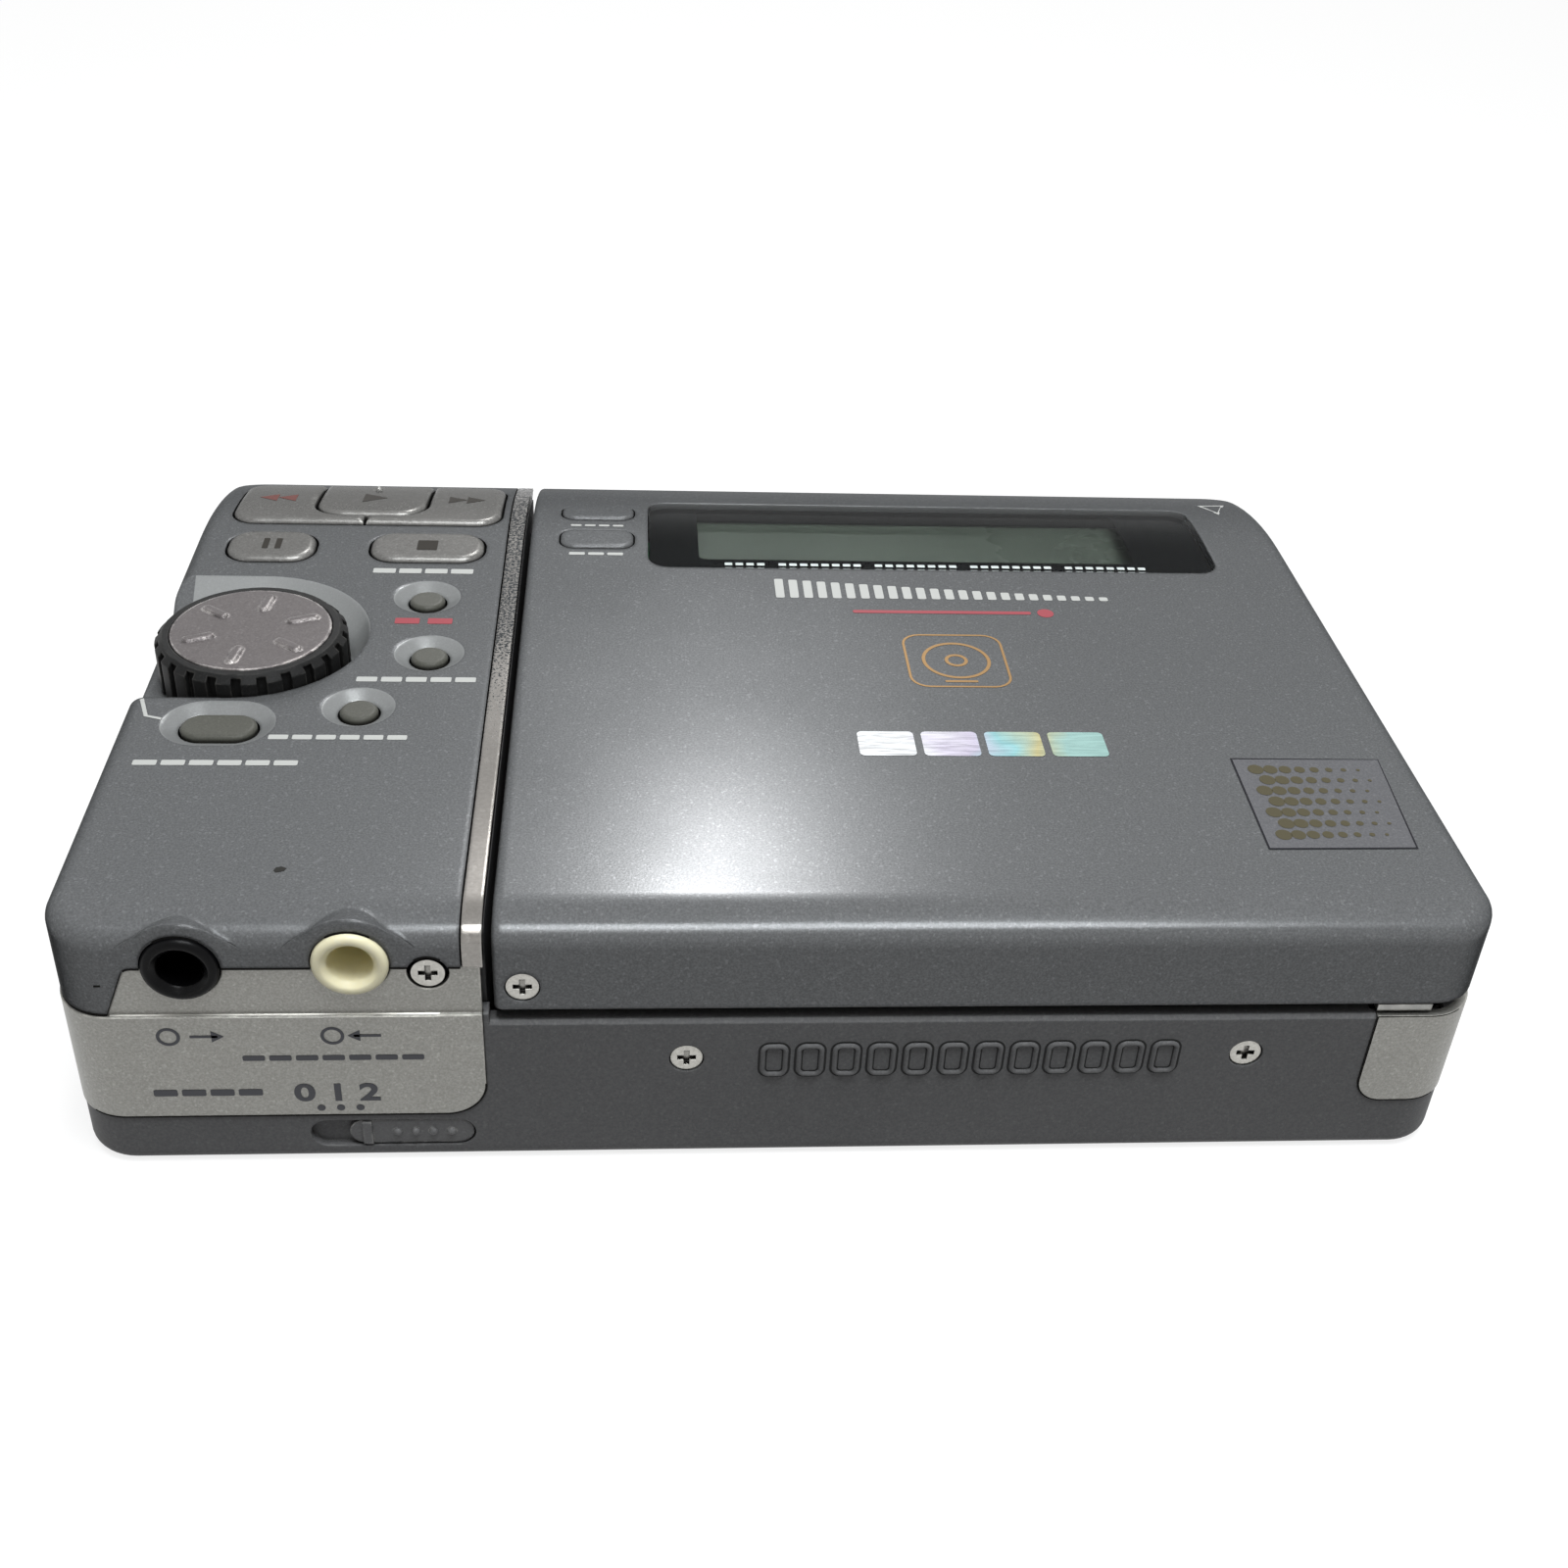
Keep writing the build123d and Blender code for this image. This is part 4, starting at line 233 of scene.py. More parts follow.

# %% [markdown]
# ## Edge wear and painted sheen
#
# Years in a pocket polish the sharp corners. The bevel node gives the direction a surface would have
# if its corners were rounded. Where that differs from the true direction, there is an edge. Broken up
# by noise, the difference is a mask for bare or rubbed spots. On the keys, the sliders and the socket
# plate the rubbed colour is pale, so it is also a painted highlight on their rims. Each finish also
# uses a rounded direction of its own, so that its edges catch the light.

# %% Effect: edge wear and painted sheen
group, take, give = effect("edge_wear",
    [("Radius", FLOAT, 0.00025), ("Breakup", FLOAT, 700.0), ("Strength", FLOAT, 1.0)],
    [("Mask", FLOAT)])
bevel = add(group, "Bevel", {"samples": 4}, Radius=take["Radius"])
true = add(group, "NewGeometry").outputs["Normal"]
dot = add(group, "VectorMath", {"operation": "DOT_PRODUCT"}, _0=bevel.outputs[0], _1=true)
edge = span(group, dot.outputs["Value"], 0.995, 0.86)
place = add(group, "TexCoord").outputs["Object"]
break_up = add(group, "TexNoise", Vector=place, Scale=take["Breakup"], Detail=4.0, Roughness=0.65)
patch = span(group, break_up.outputs["Fac"], 0.42, 0.62)
worn_and_sheen = maths(group, "MULTIPLY", edge, patch)
group.links.new(maths(group, "MULTIPLY", worn_and_sheen, take["Strength"], clamp=True), give["Mask"])
EDGE_WEAR_AND_SHEEN = group

# %% [markdown]
# ## Painted shade in creases
#
# Seams, the rings round the keys and the crosses of the screws get painted shade: a dark tone laid
# where real shade falls. Ambient occlusion measures how hemmed in a point is within a short reach, and
# the hemmed-in share becomes a mask for the dark tone.

# %% Effect: painted shade in creases
group, take, give = effect("crease_shade", [("Reach", FLOAT, 0.0006)], [("Mask", FLOAT)])
open_sky = add(group, "AmbientOcclusion", {"samples": 6}, Distance=take["Reach"])
group.links.new(span(group, open_sky.outputs["AO"], 0.82, 0.3), give["Mask"])
CREASE_SHADE = group

# %% [markdown]
# ## Painted highlight in hollows
#
# The dished rings round the small keys and the dial get a painted highlight: a silvery tone laid into
# the paint where their walls catch the light. A hollow is found by the tilt of its wall, read from the
# direction the surface faces in the case's own axes, inside the flat part of the key column.

# %% Effect: painted highlight in hollows
group, take, give = effect("hollows",
    [("Left", FLOAT, 0.0), ("Right", FLOAT, 1.0), ("Near", FLOAT, 0.0), ("Far", FLOAT, 1.0),
     ("Dial", VECTOR, (0, 0, 0)), ("Round", FLOAT, 0.01)], [("Mask", FLOAT)])
coords = add(group, "TexCoord")
spot = add(group, "SeparateXYZ", Vector=coords.outputs["Object"])
up = add(group, "SeparateXYZ", Vector=coords.outputs["Normal"]).outputs["Z"]
tilt = maths(group, "MULTIPLY", span(group, up, 0.985, 0.85), span(group, up, 0.2, 0.4))
within = []
for axis, low, high in (("X", "Left", "Right"), ("Y", "Near", "Far")):
    above = maths(group, "GREATER_THAN", spot.outputs[axis], take[low])
    below = maths(group, "LESS_THAN", spot.outputs[axis], take[high])
    within.append(maths(group, "MULTIPLY", above, below))
box = maths(group, "MULTIPLY", *within)
flat = add(group, "CombineXYZ", X=spot.outputs["X"], Y=spot.outputs["Y"])
away = add(group, "VectorMath", {"operation": "DISTANCE"}, _0=flat.outputs[0], _1=take["Dial"])
by_dial = maths(group, "LESS_THAN", away.outputs["Value"], take["Round"])
group.links.new(maths(group, "MULTIPLY", tilt, maths(group, "MAXIMUM", box, by_dial)), give["Mask"])
HOLLOW_HIGHLIGHTS = group

# %% [markdown]
# ## Handling marks
#
# A used thing isn't evenly shiny. Fingers leave dull clouds, and keys leave hairlines that run mostly
# one way. Both are wide noises: one soft and round, one pulled very long. They change roughness more
# than colour, because that is what they do on the real finish.

# %% Effect: handling marks
group, take, give = effect("handling",
    [("Cloud", FLOAT, 45.0), ("Line", FLOAT, 260.0)],
    [("Cloud", FLOAT), ("Scratch", FLOAT), ("Dirt", FLOAT)])
place = add(group, "TexCoord").outputs["Object"]
cloud = add(group, "TexNoise", Vector=place, Scale=take["Cloud"], Detail=5.0, Roughness=0.6)
turned = add(group, "Mapping", Vector=place, Rotation=(0.2, 0.1, 0.7), Scale=(1.0, 42.0, 1.0))
line = add(group, "TexNoise", Vector=turned.outputs[0], Scale=take["Line"], Detail=2.0)
thin = span(group, line.outputs["Fac"], 0.70, 0.73)
where = span(group, cloud.outputs["Fac"], 0.5, 0.62)
speck = add(group, "TexNoise", Vector=place, Scale=900.0, Detail=3.0, Roughness=0.7)
specks = span(group, speck.outputs["Fac"], 0.70, 0.76)
group.links.new(span(group, cloud.outputs["Fac"], 0.3, 0.7), give["Cloud"])
group.links.new(maths(group, "MULTIPLY", thin, where), give["Scratch"])
group.links.new(specks, give["Dirt"])
HANDLING = group

# %% [markdown]
# ## Fine tooth
#
# Moulds are etched so that plastic doesn't look wet, and metal sheet is blasted with beads. Both
# leave a tooth of a tenth of a millimetre. A drawn or ground metal has its tooth pulled out in one
# direction instead, so the group takes a stretch for each axis.

# %% Effect: fine tooth
group, take, give = effect("tooth",
    [("Scale", FLOAT, 6000.0), ("Stretch", VECTOR, (1, 1, 1))],
    [("Height", FLOAT), ("Fine", FLOAT)])
place = add(group, "TexCoord").outputs["Object"]
pulled = add(group, "VectorMath", {"operation": "MULTIPLY"}, _0=place, _1=take["Stretch"])
coarse = add(group, "TexNoise", Vector=pulled.outputs[0], Scale=take["Scale"], Detail=3.0,
             Roughness=0.6)
group.links.new(coarse.outputs["Fac"], give["Height"])
group.links.new(span(group, coarse.outputs["Fac"], 0.35, 0.65), give["Fine"])
TOOTH = group

# %% [markdown]
# ## Pits in plating
#
# Bright plating fails in spots. Damp creeps under it and leaves small dark pits, and they gather where
# hands and pockets touch most. The group makes clustered pits whose number grows between two values
# of Y, so that one end of a strip can stay bright while the other turns dull.

# %% Effect: pits in plating
group, take, give = effect("pits",
    [("Scale", FLOAT, 3400.0), ("Clean", FLOAT, -0.03), ("Poor", FLOAT, 0.02), ("Few", FLOAT, 0.7),
     ("Many", FLOAT, 0.40)],
    [("Mask", FLOAT)])
place = add(group, "TexCoord").outputs["Object"]
along = add(group, "SeparateXYZ", Vector=place).outputs["Y"]
share = span(group, along, take["Clean"], take["Poor"], take["Few"], take["Many"])
small = add(group, "TexNoise", Vector=place, Scale=take["Scale"], Detail=4.0, Roughness=0.7)
over = maths(group, "SUBTRACT", small.outputs["Fac"], share)
group.links.new(span(group, over, 0.0, 0.12), give["Mask"])
PITS = group
print("effects:", [g.name for g in bpy.data.node_groups])

# %% [markdown]
# ## A finish
#
# All the opaque finishes are the same layered idea: a ground colour with grain, a second colour where
# edges are rubbed, which on some finishes is also a painted highlight, painted shade in creases,
# clouds and hairlines in the roughness, and a fine bump. One function lays those layers, and each real
# finish is a call with its own numbers. The shader itself stays in the material, and its constants are
# set straight on its sockets. A finish can take one more colour over it, under a mask of its own.

# %% The layered finish
# Dark tone of the painted shade in creases.
CREASE_SHADE_TONE = "0c0b0a"


def use(tree, group, **values):
    """Place a group in a material."""
    node = tree.nodes.new("ShaderNodeGroup")
    node.node_tree = group
    for key, value in values.items():
        feed(tree, node.inputs[key], value)
    return node.outputs


def finish(name, colour, flake=None, rough=0.45, metal=0.0, grain=5200.0, amount=0.25, wear_and_sheen=None,
           wear_amount=0.6, wear_radius=0.00025, bump=0.00001, stretch=(1, 1, 1), cloud=0.08,
           scratch=0.25, coat=0.0, dirt=None, dirt_amount=0.5, gloss=0.5, tint=1.0, soft=None,
           crease_shade=0.0, reach=0.0006):
    """An opaque finish: grain, dirt, rubbed edges with painted sheen, painted shade in creases,
    clouds, hairlines and tooth.
    """
    material = bpy.data.materials.new(name)
    material.use_nodes = True
    tree = material.node_tree
    tree.nodes.clear()
    ground = use(tree, METAL_FLAKE, Grain=grain, Amount=amount, Colour=shade(colour),
                 Flake=shade(flake or colour))
    marks = use(tree, HANDLING)
    tooth = use(tree, TOOTH, Scale=grain, Stretch=stretch)
    tone = ground["Colour"]
    if dirt:
        tone = mix(tree, maths(tree, "MULTIPLY", marks["Dirt"], dirt_amount), tone, shade(dirt))
    # Edge colour: real wear, and where it is pale also a painted highlight on the rims.
    if wear_and_sheen:
        worn_and_sheen = use(tree, EDGE_WEAR_AND_SHEEN, Radius=wear_radius, Strength=wear_amount)
        tone = mix(tree, worn_and_sheen["Mask"], tone, shade(wear_and_sheen))
    # Painted shade: the colour darkens in creases, seams and recesses.
    if crease_shade:
        corners = use(tree, CREASE_SHADE, Reach=reach)
        tone = mix(tree, maths(tree, "MULTIPLY", corners["Mask"], crease_shade), tone, shade(CREASE_SHADE_TONE))
    base = span(tree, marks["Cloud"], 0.0, 1.0, rough - cloud, rough + cloud)
    scratched = maths(tree, "MULTIPLY_ADD", marks["Scratch"], -scratch * rough, base)
    softened = add(tree, "Bevel", {"samples": 6}, Radius=soft or wear_radius)
    relief = add(tree, "Bump", Height=tooth["Height"], Distance=bump, Strength=1.0,
                 Normal=softened.outputs[0])
    shader = add(tree, "BsdfPrincipled", Base_Color=tone, Roughness=scratched, Metallic=metal,
                 Normal=relief.outputs[0], Specular_IOR_Level=gloss, Coat_Weight=coat,
                 Specular_Tint=(tint, tint, tint, 1))
    add(tree, "OutputMaterial", Surface=shader.outputs[0])
    return material


def principled(tree):
    """The shader of a finish."""
    return [n for n in tree.nodes if n.type == "BSDF_PRINCIPLED"][0]


def lay_over(tree, mask, code):
    """A second colour over a finish, where a mask is bright."""
    target = principled(tree).inputs["Base Color"]
    tree.links.new(mix(tree, mask, target.links[0].from_socket, shade(code)), target)


# %% [markdown]
# ## Paint and plastic
#
# The lid and the key column share a grey metallic paint. The tray below them is moulded plastic with a
# visible tooth, and its small sliders are the same plastic with pale edges, part wear and part painted
# highlight. The keys are sprayed silver and have pale rims, part wear from thumbs and part painted
# highlight. The plating of the strip beside the lid is clean at the sockets and pitted further back.

# %% Finishes of the outside
lid_paint = finish("lid_paint", "616263", "8a8b8d", rough=0.235, metal=0.28, grain=5200, amount=0.34,
                   wear_and_sheen="9a9b9b", wear_amount=0.3, bump=0.000004, cloud=0.03, scratch=0.3, gloss=0.0,
                   tint=0.15, soft=0.0006, crease_shade=0.9, reach=0.0009)
tray_plastic = finish("tray_plastic", "5c5c5d", "79797a", rough=0.55, metal=0.0, grain=4200,
                      amount=0.35, wear_and_sheen="8a8a89", wear_amount=0.6, bump=0.000010, cloud=0.06,
                      gloss=0.2, crease_shade=0.9)
# Pale edges on the sliders: wear and a painted highlight.
knob_plastic = finish("knob_plastic", "5c5c5d", "79797a", rough=0.45, metal=0.0, grain=4200,
                      amount=0.35, wear_and_sheen="b4b3b0", wear_amount=1.0, wear_radius=0.0003,
                      bump=0.000006, cloud=0.06, gloss=0.3, crease_shade=0.9)
# Pale edges on the plate, its fold among them: wear and a painted highlight.
plate_metal = finish("plate_metal", "888782", "aaa9a4", rough=0.42, metal=0.6, grain=5000, amount=0.5,
                     wear_and_sheen="d6d4cc", wear_amount=0.9, wear_radius=0.0003, bump=0.000008, cloud=0.07,
                     crease_shade=0.9)
trim_plating = finish("trim_plating", "85827e", "9c9995", rough=0.16, metal=1.0, grain=2500, amount=0.3,
                      wear_and_sheen="a3a09c", wear_amount=0.8, wear_radius=0.0003, bump=0.000003, cloud=0.06)
# Near-white rims on the keys: thumb wear and a painted highlight.
key_paint = finish("key_paint", "6c6b69", "949391", rough=0.26, metal=0.6, grain=5200, amount=0.4,
                   wear_and_sheen="e9e8e3", wear_amount=1.0, wear_radius=0.00055, bump=0.000003, cloud=0.05,
                   gloss=0.1, tint=0.3, crease_shade=0.8)
cap_plastic = finish("cap_plastic", "4b4b45", "63635c", rough=0.42, metal=0.0, grain=5200, amount=0.3,
                     wear_and_sheen="a8a79a", wear_amount=0.4, bump=0.000003, gloss=0.2, crease_shade=0.8)
rim_rubber = finish("rim_rubber", "1a1a1a", "2c2c2c", rough=0.5, grain=5000, amount=0.4, wear_and_sheen="5c5b58",
                    wear_amount=0.7, wear_radius=0.00025, bump=0.000006, gloss=0.12, crease_shade=0.9)
dial_metal = finish("dial_metal", "5a5555", "7b7676", rough=0.3, metal=0.4, grain=5600, amount=0.45,
                    wear_and_sheen="e0dad7", wear_amount=1.0, wear_radius=0.0004, bump=0.000004, cloud=0.05,
                    gloss=0.3, crease_shade=0.5)
socket_black = finish("socket_black", "060607", "101012", rough=0.28, grain=3000, amount=0.3,
                      wear_and_sheen="3b3a38", wear_amount=0.5, bump=0.000002, gloss=0.1)
socket_cream = finish("socket_cream", "fff7d0", "fffbe0", rough=0.3, grain=2500, amount=0.3,
                      wear_and_sheen="fffbe4", wear_amount=0.3, wear_radius=0.0005, bump=0.000002, dirt="8a7a5c",
                      dirt_amount=0.35, crease_shade=0.5)
screw_metal = finish("screw_metal", "a8a6a0", "d0cec8", rough=0.3, metal=0.9, grain=4000, amount=0.4,
                     wear_and_sheen="e6e4df", wear_amount=0.6, wear_radius=0.00012, bump=0.000003,
                     dirt="2a2622", dirt_amount=0.6, crease_shade=1.0, reach=0.0009)


PITS_START = at(0, 8, 0).y
PITS_END = at(0, 45, 0).y
DIAL = at(9.9, 42.4, 0)
DIAL_HOLLOW = 0.0118
COLUMN_NEAR = at(1.8, 9, 0)
COLUMN_FAR = at(31.0, 57, 0)


def pitted(material, pit, rough):
    """Dark pits over a finish: they hide the plating's colour and its shine."""
    tree = material.node_tree
    mask = use(tree, PITS, Clean=PITS_START, Poor=PITS_END)["Mask"]
    lay_over(tree, mask, pit)
    shine = principled(tree).inputs["Roughness"]
    tree.links.new(maths(tree, "MULTIPLY_ADD", mask, rough, shine.links[0].from_socket), shine)


def painted_hollow_highlights(material, silver, amount):
    """Painted highlight: silvery rings where the column's top is dished."""
    tree = material.node_tree
    mask = use(tree, HOLLOW_HIGHLIGHTS, Left=COLUMN_NEAR.x, Right=COLUMN_FAR.x, Near=COLUMN_NEAR.y,
               Far=COLUMN_FAR.y, Dial=DIAL, Round=DIAL_HOLLOW)["Mask"]
    lay_over(tree, maths(tree, "MULTIPLY", mask, amount), silver)


pitted(trim_plating, "1c2023", 0.3)
# Painted highlight on the dished rings of the key column.
painted_hollow_highlights(lid_paint, "b0b2b1", 0.5)
print("paints:", len(bpy.data.materials))

# %% [markdown]
# ## The works
#
# Inside, the pieces are pressed steel, black nylon, green boards and small bought-in parts. They show
# when the lid or the battery door is open, so they get the same care: drawn steel has its tooth pulled
# along one axis, and boards show faint copper tracks under the green.

# %% Finishes of the inside
sheet_steel = finish("sheet_steel", "8f8f8c", "b4b3ae", rough=0.35, metal=0.9, grain=1800, amount=0.4,
                     wear_and_sheen="d0cfca", bump=0.000004, stretch=(0.05, 1, 1))
black_nylon = finish("black_nylon", "1b1b1c", "2c2c2d", rough=0.55, grain=3800, amount=0.4,
                     wear_and_sheen="3d3d3c", bump=0.000008)
ground_rod = finish("ground_rod", "b5b5b3", "d8d8d6", rough=0.18, metal=1.0, grain=2600, amount=0.3,
                    bump=0.000002, stretch=(8, 1, 1))
can_metal = finish("can_metal", "8b8a86", "a9a8a3", rough=0.3, metal=0.9, grain=3000, amount=0.4,
                   wear_and_sheen="c6c5c0", bump=0.000003)
brass_leaf = finish("brass_leaf", "b0904a", "d4b775", rough=0.28, metal=1.0, grain=3000, amount=0.35,
                    wear_and_sheen="e3cd95", bump=0.000003)
cell_sleeve = finish("cell_sleeve", "2b3d63", "3b5080", rough=0.3, grain=2600, amount=0.3,
                     wear_and_sheen="54689a", bump=0.000003, coat=0.4)
chip_epoxy = finish("chip_epoxy", "161617", "262627", rough=0.5, grain=5000, amount=0.5, bump=0.000005)
lens_black = finish("lens_black", "101014", "1d1d24", rough=0.3, grain=4000, amount=0.3, wear_and_sheen="35353a",
                    bump=0.000004, coat=0.4)


def board_finish(name):
    """Green solder mask with faint copper tracks under it."""
    material = finish(name, "1d5a35", "2a7346", rough=0.32, grain=3000, amount=0.3, bump=0.000003,
                      coat=0.3)
    tree = material.node_tree
    place = add(tree, "TexCoord").outputs["Object"]
    tracks = add(tree, "TexBrick", {"offset": 0.37, "squash": 1.0}, Vector=place, Scale=260.0,
                 Mortar_Size=0.11, Color1=(0, 0, 0, 1), Color2=(0, 0, 0, 1), Mortar=(1, 1, 1, 1))
    lay_over(tree, maths(tree, "MULTIPLY", tracks.outputs["Color"], 0.5), "3f8a58")
    return material


board_mask = board_finish("board_mask")

# %% [markdown]
# ## Display
#
# The window is clear plastic, so it keeps a plain transmission. Under it lies the display cell, a
# green-grey glass. Its reading is off, and only a faint ghost of its grid of dots shows.

# %% Finishes of the display
window_clear = bpy.data.materials.new("window_clear")
window_clear.use_nodes = True
tree = window_clear.node_tree
shader = tree.nodes["Principled BSDF"]
marks = use(tree, HANDLING, Cloud=60.0)
tree.links.new(mix(tree, marks["Cloud"], shade("b2b6b6"), shade("bfc3c3")), shader.inputs["Base Color"])
shader.inputs["Roughness"].default_value = 0.0
shader.inputs["Transmission Weight"].default_value = 1.0
shader.inputs["IOR"].default_value = 1.07

cell_glass = finish("cell_glass", "474e45", "50574d", rough=0.3, grain=2200, amount=0.2, bump=0.0,
                    gloss=0.15)
tree = cell_glass.node_tree
place = add(tree, "TexCoord").outputs["Object"]
dots = add(tree, "TexBrick", {"offset": 0.0, "squash": 1.0}, Vector=place, Scale=900.0,
           Mortar_Size=0.12, Brick_Width=0.5, Row_Height=0.5, Color1=(1, 1, 1, 1),
           Color2=(1, 1, 1, 1), Mortar=(0, 0, 0, 1))
lay_over(tree, maths(tree, "MULTIPLY", dots.outputs["Color"], 0.16), "39403a")

# %% [markdown]
# ## Dress the solids
#
# Each solid keeps its shape and gets a finish by name. The list is by finish, because that is how a
# maker would order parts: everything that comes out of one mould or paint shop looks alike. The clear
# window casts no shadow, so that the display under it is lit as evenly as through real clear plastic.

# %% Give every solid its finish
DRESS = {
    lid_paint: ["lid_shell", "control_cover", "mode_button", "display_button"],
    tray_plastic: ["base_shell", "battery_door"],
    knob_plastic: ["bass_knob", "record_slider", "hold_slider"],
    plate_metal: ["jack_plate", "corner_plate"],
    trim_plating: ["divider_trim"],
    key_paint: ["play_button", "rewind_button", "forward_button", "pause_button", "stop_button",
                "open_slider"],
    cap_plastic: ["erase_button", "end_search_button", "track_mark_button", "title_button"],
    rim_rubber: ["dial_wheel"],
    dial_metal: ["dial_cap"],
    socket_black: ["output_jack", "front_jacks", "dc_jack"],
    socket_cream: ["input_jack"],
    screw_metal: ["case_screws", "cover_screw", "lid_screw"],
    sheet_steel: ["hinge_brackets", "hinge_pins", "lid_frame", "disc_holder", "deck_plate",
                  "latch_hook"],
    black_nylon: ["side_frame", "deck_frame", "turntable"],
    ground_rod: ["guide_rods", "lead_screw"],
    can_metal: ["lid_switches", "key_switches", "dial_encoder", "slide_switches", "spindle_motor",
                "sled_motor"],
    brass_leaf: ["battery_contacts"],
    cell_sleeve: ["battery"],
    board_mask: ["lcd_board", "control_board", "main_board"],
    chip_epoxy: ["board_chips"],
    lens_black: ["optical_pickup", "magnetic_head"],
    window_clear: ["lcd_window"],
    cell_glass: ["lcd_panel"],
}
dressed = set()
for material, names in DRESS.items():
    for name in names:
        for slot in nodes[name].material_slots:
            slot.material = material
        dressed.add(name)
nodes["lcd_window"].visible_shadow = False
print("not dressed:", sorted(set(nodes) - dressed))

# %% [markdown]
# ## Printing
#
# Prints on the case are ink, a few hundredths of a millimetre thick. They could be painted in the
# paint's own nodes, but a separate thin piece is easier to place and to change. Each mark is a flat
# outline that is dropped on to the real surface by rays, so it follows the surface's curve. The rays
# start well above the case, or well behind its back face.

# %% Helpers for printed marks
def flat_ink(name, colour, rough=0.45, metal=0.0, gloss=0.5, bump=0.000002):
    """Ink: a matt colour whose shine is a little uneven."""
    return finish(name, colour, rough=rough, metal=metal, grain=4000.0, amount=0.0, bump=bump,
                  cloud=0.05, gloss=gloss)


white_ink = flat_ink("white_ink", "b9bab7", gloss=0.2)
dark_ink = flat_ink("dark_ink", "2b2c33")
icon_ink = flat_ink("icon_ink", "33302c", gloss=0.05)
red_ink = flat_ink("red_ink", "9a3c46", gloss=0.2)
gold_ink = flat_ink("gold_ink", "8a6b41", rough=0.4, metal=0.4, gloss=0.2)

ABOVE = 60
BEHIND = -30
surfaces = {}


def surface(name):
    """Ray-cast tree of a solid, made once."""
    if name not in surfaces:
        mesh = nodes[name].data
        points = [v.co.copy() for v in mesh.vertices]
        surfaces[name] = BVHTree.FromPolygons(points, [list(p.vertices) for p in mesh.polygons])
    return surfaces[name]


def bar(x, y, width, height, radius=0.0, steps=5):
    """Closed outline of a rounded bar, in millimetres."""
    radius = min(radius, width / 2 - 0.001, height / 2 - 0.001)
    points = []
    corners = ((1, 1, 0), (-1, 1, 90), (-1, -1, 180), (1, -1, 270))
    for sx, sy, start in corners:
        cx = sx * (width / 2 - radius)
        cy = sy * (height / 2 - radius)
        for i in range(steps + 1 if radius > 0.01 else 1):
            angle = math.radians(start + 90 * i / steps)
            points.append((cx + radius * math.cos(angle), cy + radius * math.sin(angle)))
    return [(x + px, y + py) for px, py in points]


def disc(x, y, radius, sides=32):
    """Closed outline of a circle."""
    angles = [math.tau * i / sides for i in range(sides)]
    return [(x + radius * math.cos(a), y + radius * math.sin(a)) for a in angles]


def ring(outer, inner):
    """Band between two outlines with the same number of points."""
    count = len(outer)
    return [[outer[i], outer[(i + 1) % count], inner[(i + 1) % count], inner[i]] for i in range(count)]


def printed(name, shapes, ink, onto, body, face="top", lift=0.03, cuts=0):
    """Thin pieces of ink dropped on to a solid. Shapes are (x, y) on top, or (x, z) on the back."""
    mesh = bpy.data.meshes.new(name)
    build = bmesh.new()
    for outline in shapes:
        build.faces.new([build.verts.new((u, v, 0)) for u, v in outline])
    bmesh.ops.remove_doubles(build, verts=build.verts, dist=0.0005)
    if cuts:
        bmesh.ops.subdivide_edges(build, edges=build.edges, cuts=cuts, use_grid_fill=True)
    bmesh.ops.triangulate(build, faces=build.faces)
    trees = [surface(n) for n in ([onto] if isinstance(onto, str) else onto)]
    for vert in build.verts:
        u, v = vert.co.x, vert.co.y
        start, aim = at(u, v, ABOVE), Vector((0, 0, -1))
        if face == "back":
            start, aim = at(u, BEHIND, v), Vector((0, 1, 0))
        hits = [tree.ray_cast(start, aim) for tree in trees]
        hits = [h for h in hits if h[0] is not None]
        if not hits:
            raise ValueError(name + " misses its surface at " + str((u, v)))
        spot = min(hits, key=lambda h: h[3])[0]
        vert.co = spot - aim * (lift / 1000)
    bmesh.ops.recalc_face_normals(build, faces=build.faces)
    build.to_mesh(mesh)
    build.free()
    mesh.materials.append(ink)
    piece = bpy.data.objects.new(name, mesh)
    bpy.context.scene.collection.objects.link(piece)
    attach(piece, body)
    return piece


# %% [markdown]
# ## Marks on the lid
#
# The lid's middle carries a level meter in white, a red line that ends in a dot for recording, and a
# plain disc in a rounded square. None of them is a word: they are the kind of generic sign that any
# recorder could carry. A strip of rainbow foil closes the row towards the sockets.

# %% Level meter, red line and disc sign
METER_BARS = 24
METER_RIGHT = 95.0
METER_STEP = 1.47
METER_FOOT = 53.1
meter = []
for i in range(METER_BARS):
    height = 0.8 + 3.2 * (i / (METER_BARS - 1)) ** 1.2
    meter.append(bar(METER_RIGHT - METER_STEP * i, METER_FOOT + height / 2, 0.9, height, 0.2))
printed("level_meter_print", meter, white_ink, "lid_shell", "lid")

RED_LINE = 50.4
red_marks = [disc(88.3, RED_LINE, 0.85), bar(77.6, RED_LINE, 18.4, 0.6, 0.25)]
printed("recording_print", red_marks, red_ink, "lid_shell", "lid")

SIGN = (77.7, 40.9)
sign = ring(bar(*SIGN, 10.0, 10.0, 1.9), bar(*SIGN, 9.5, 9.5, 1.65))
sign += ring(disc(*SIGN, 3.4, 48), disc(*SIGN, 3.05, 48))
sign += ring(disc(*SIGN, 1.15), disc(*SIGN, 0.8))
sign += [bar(SIGN[0], 37.0, 3.2, 0.35, 0.1)]
printed("disc_sign_print", sign, gold_ink, "lid_shell", "lid")

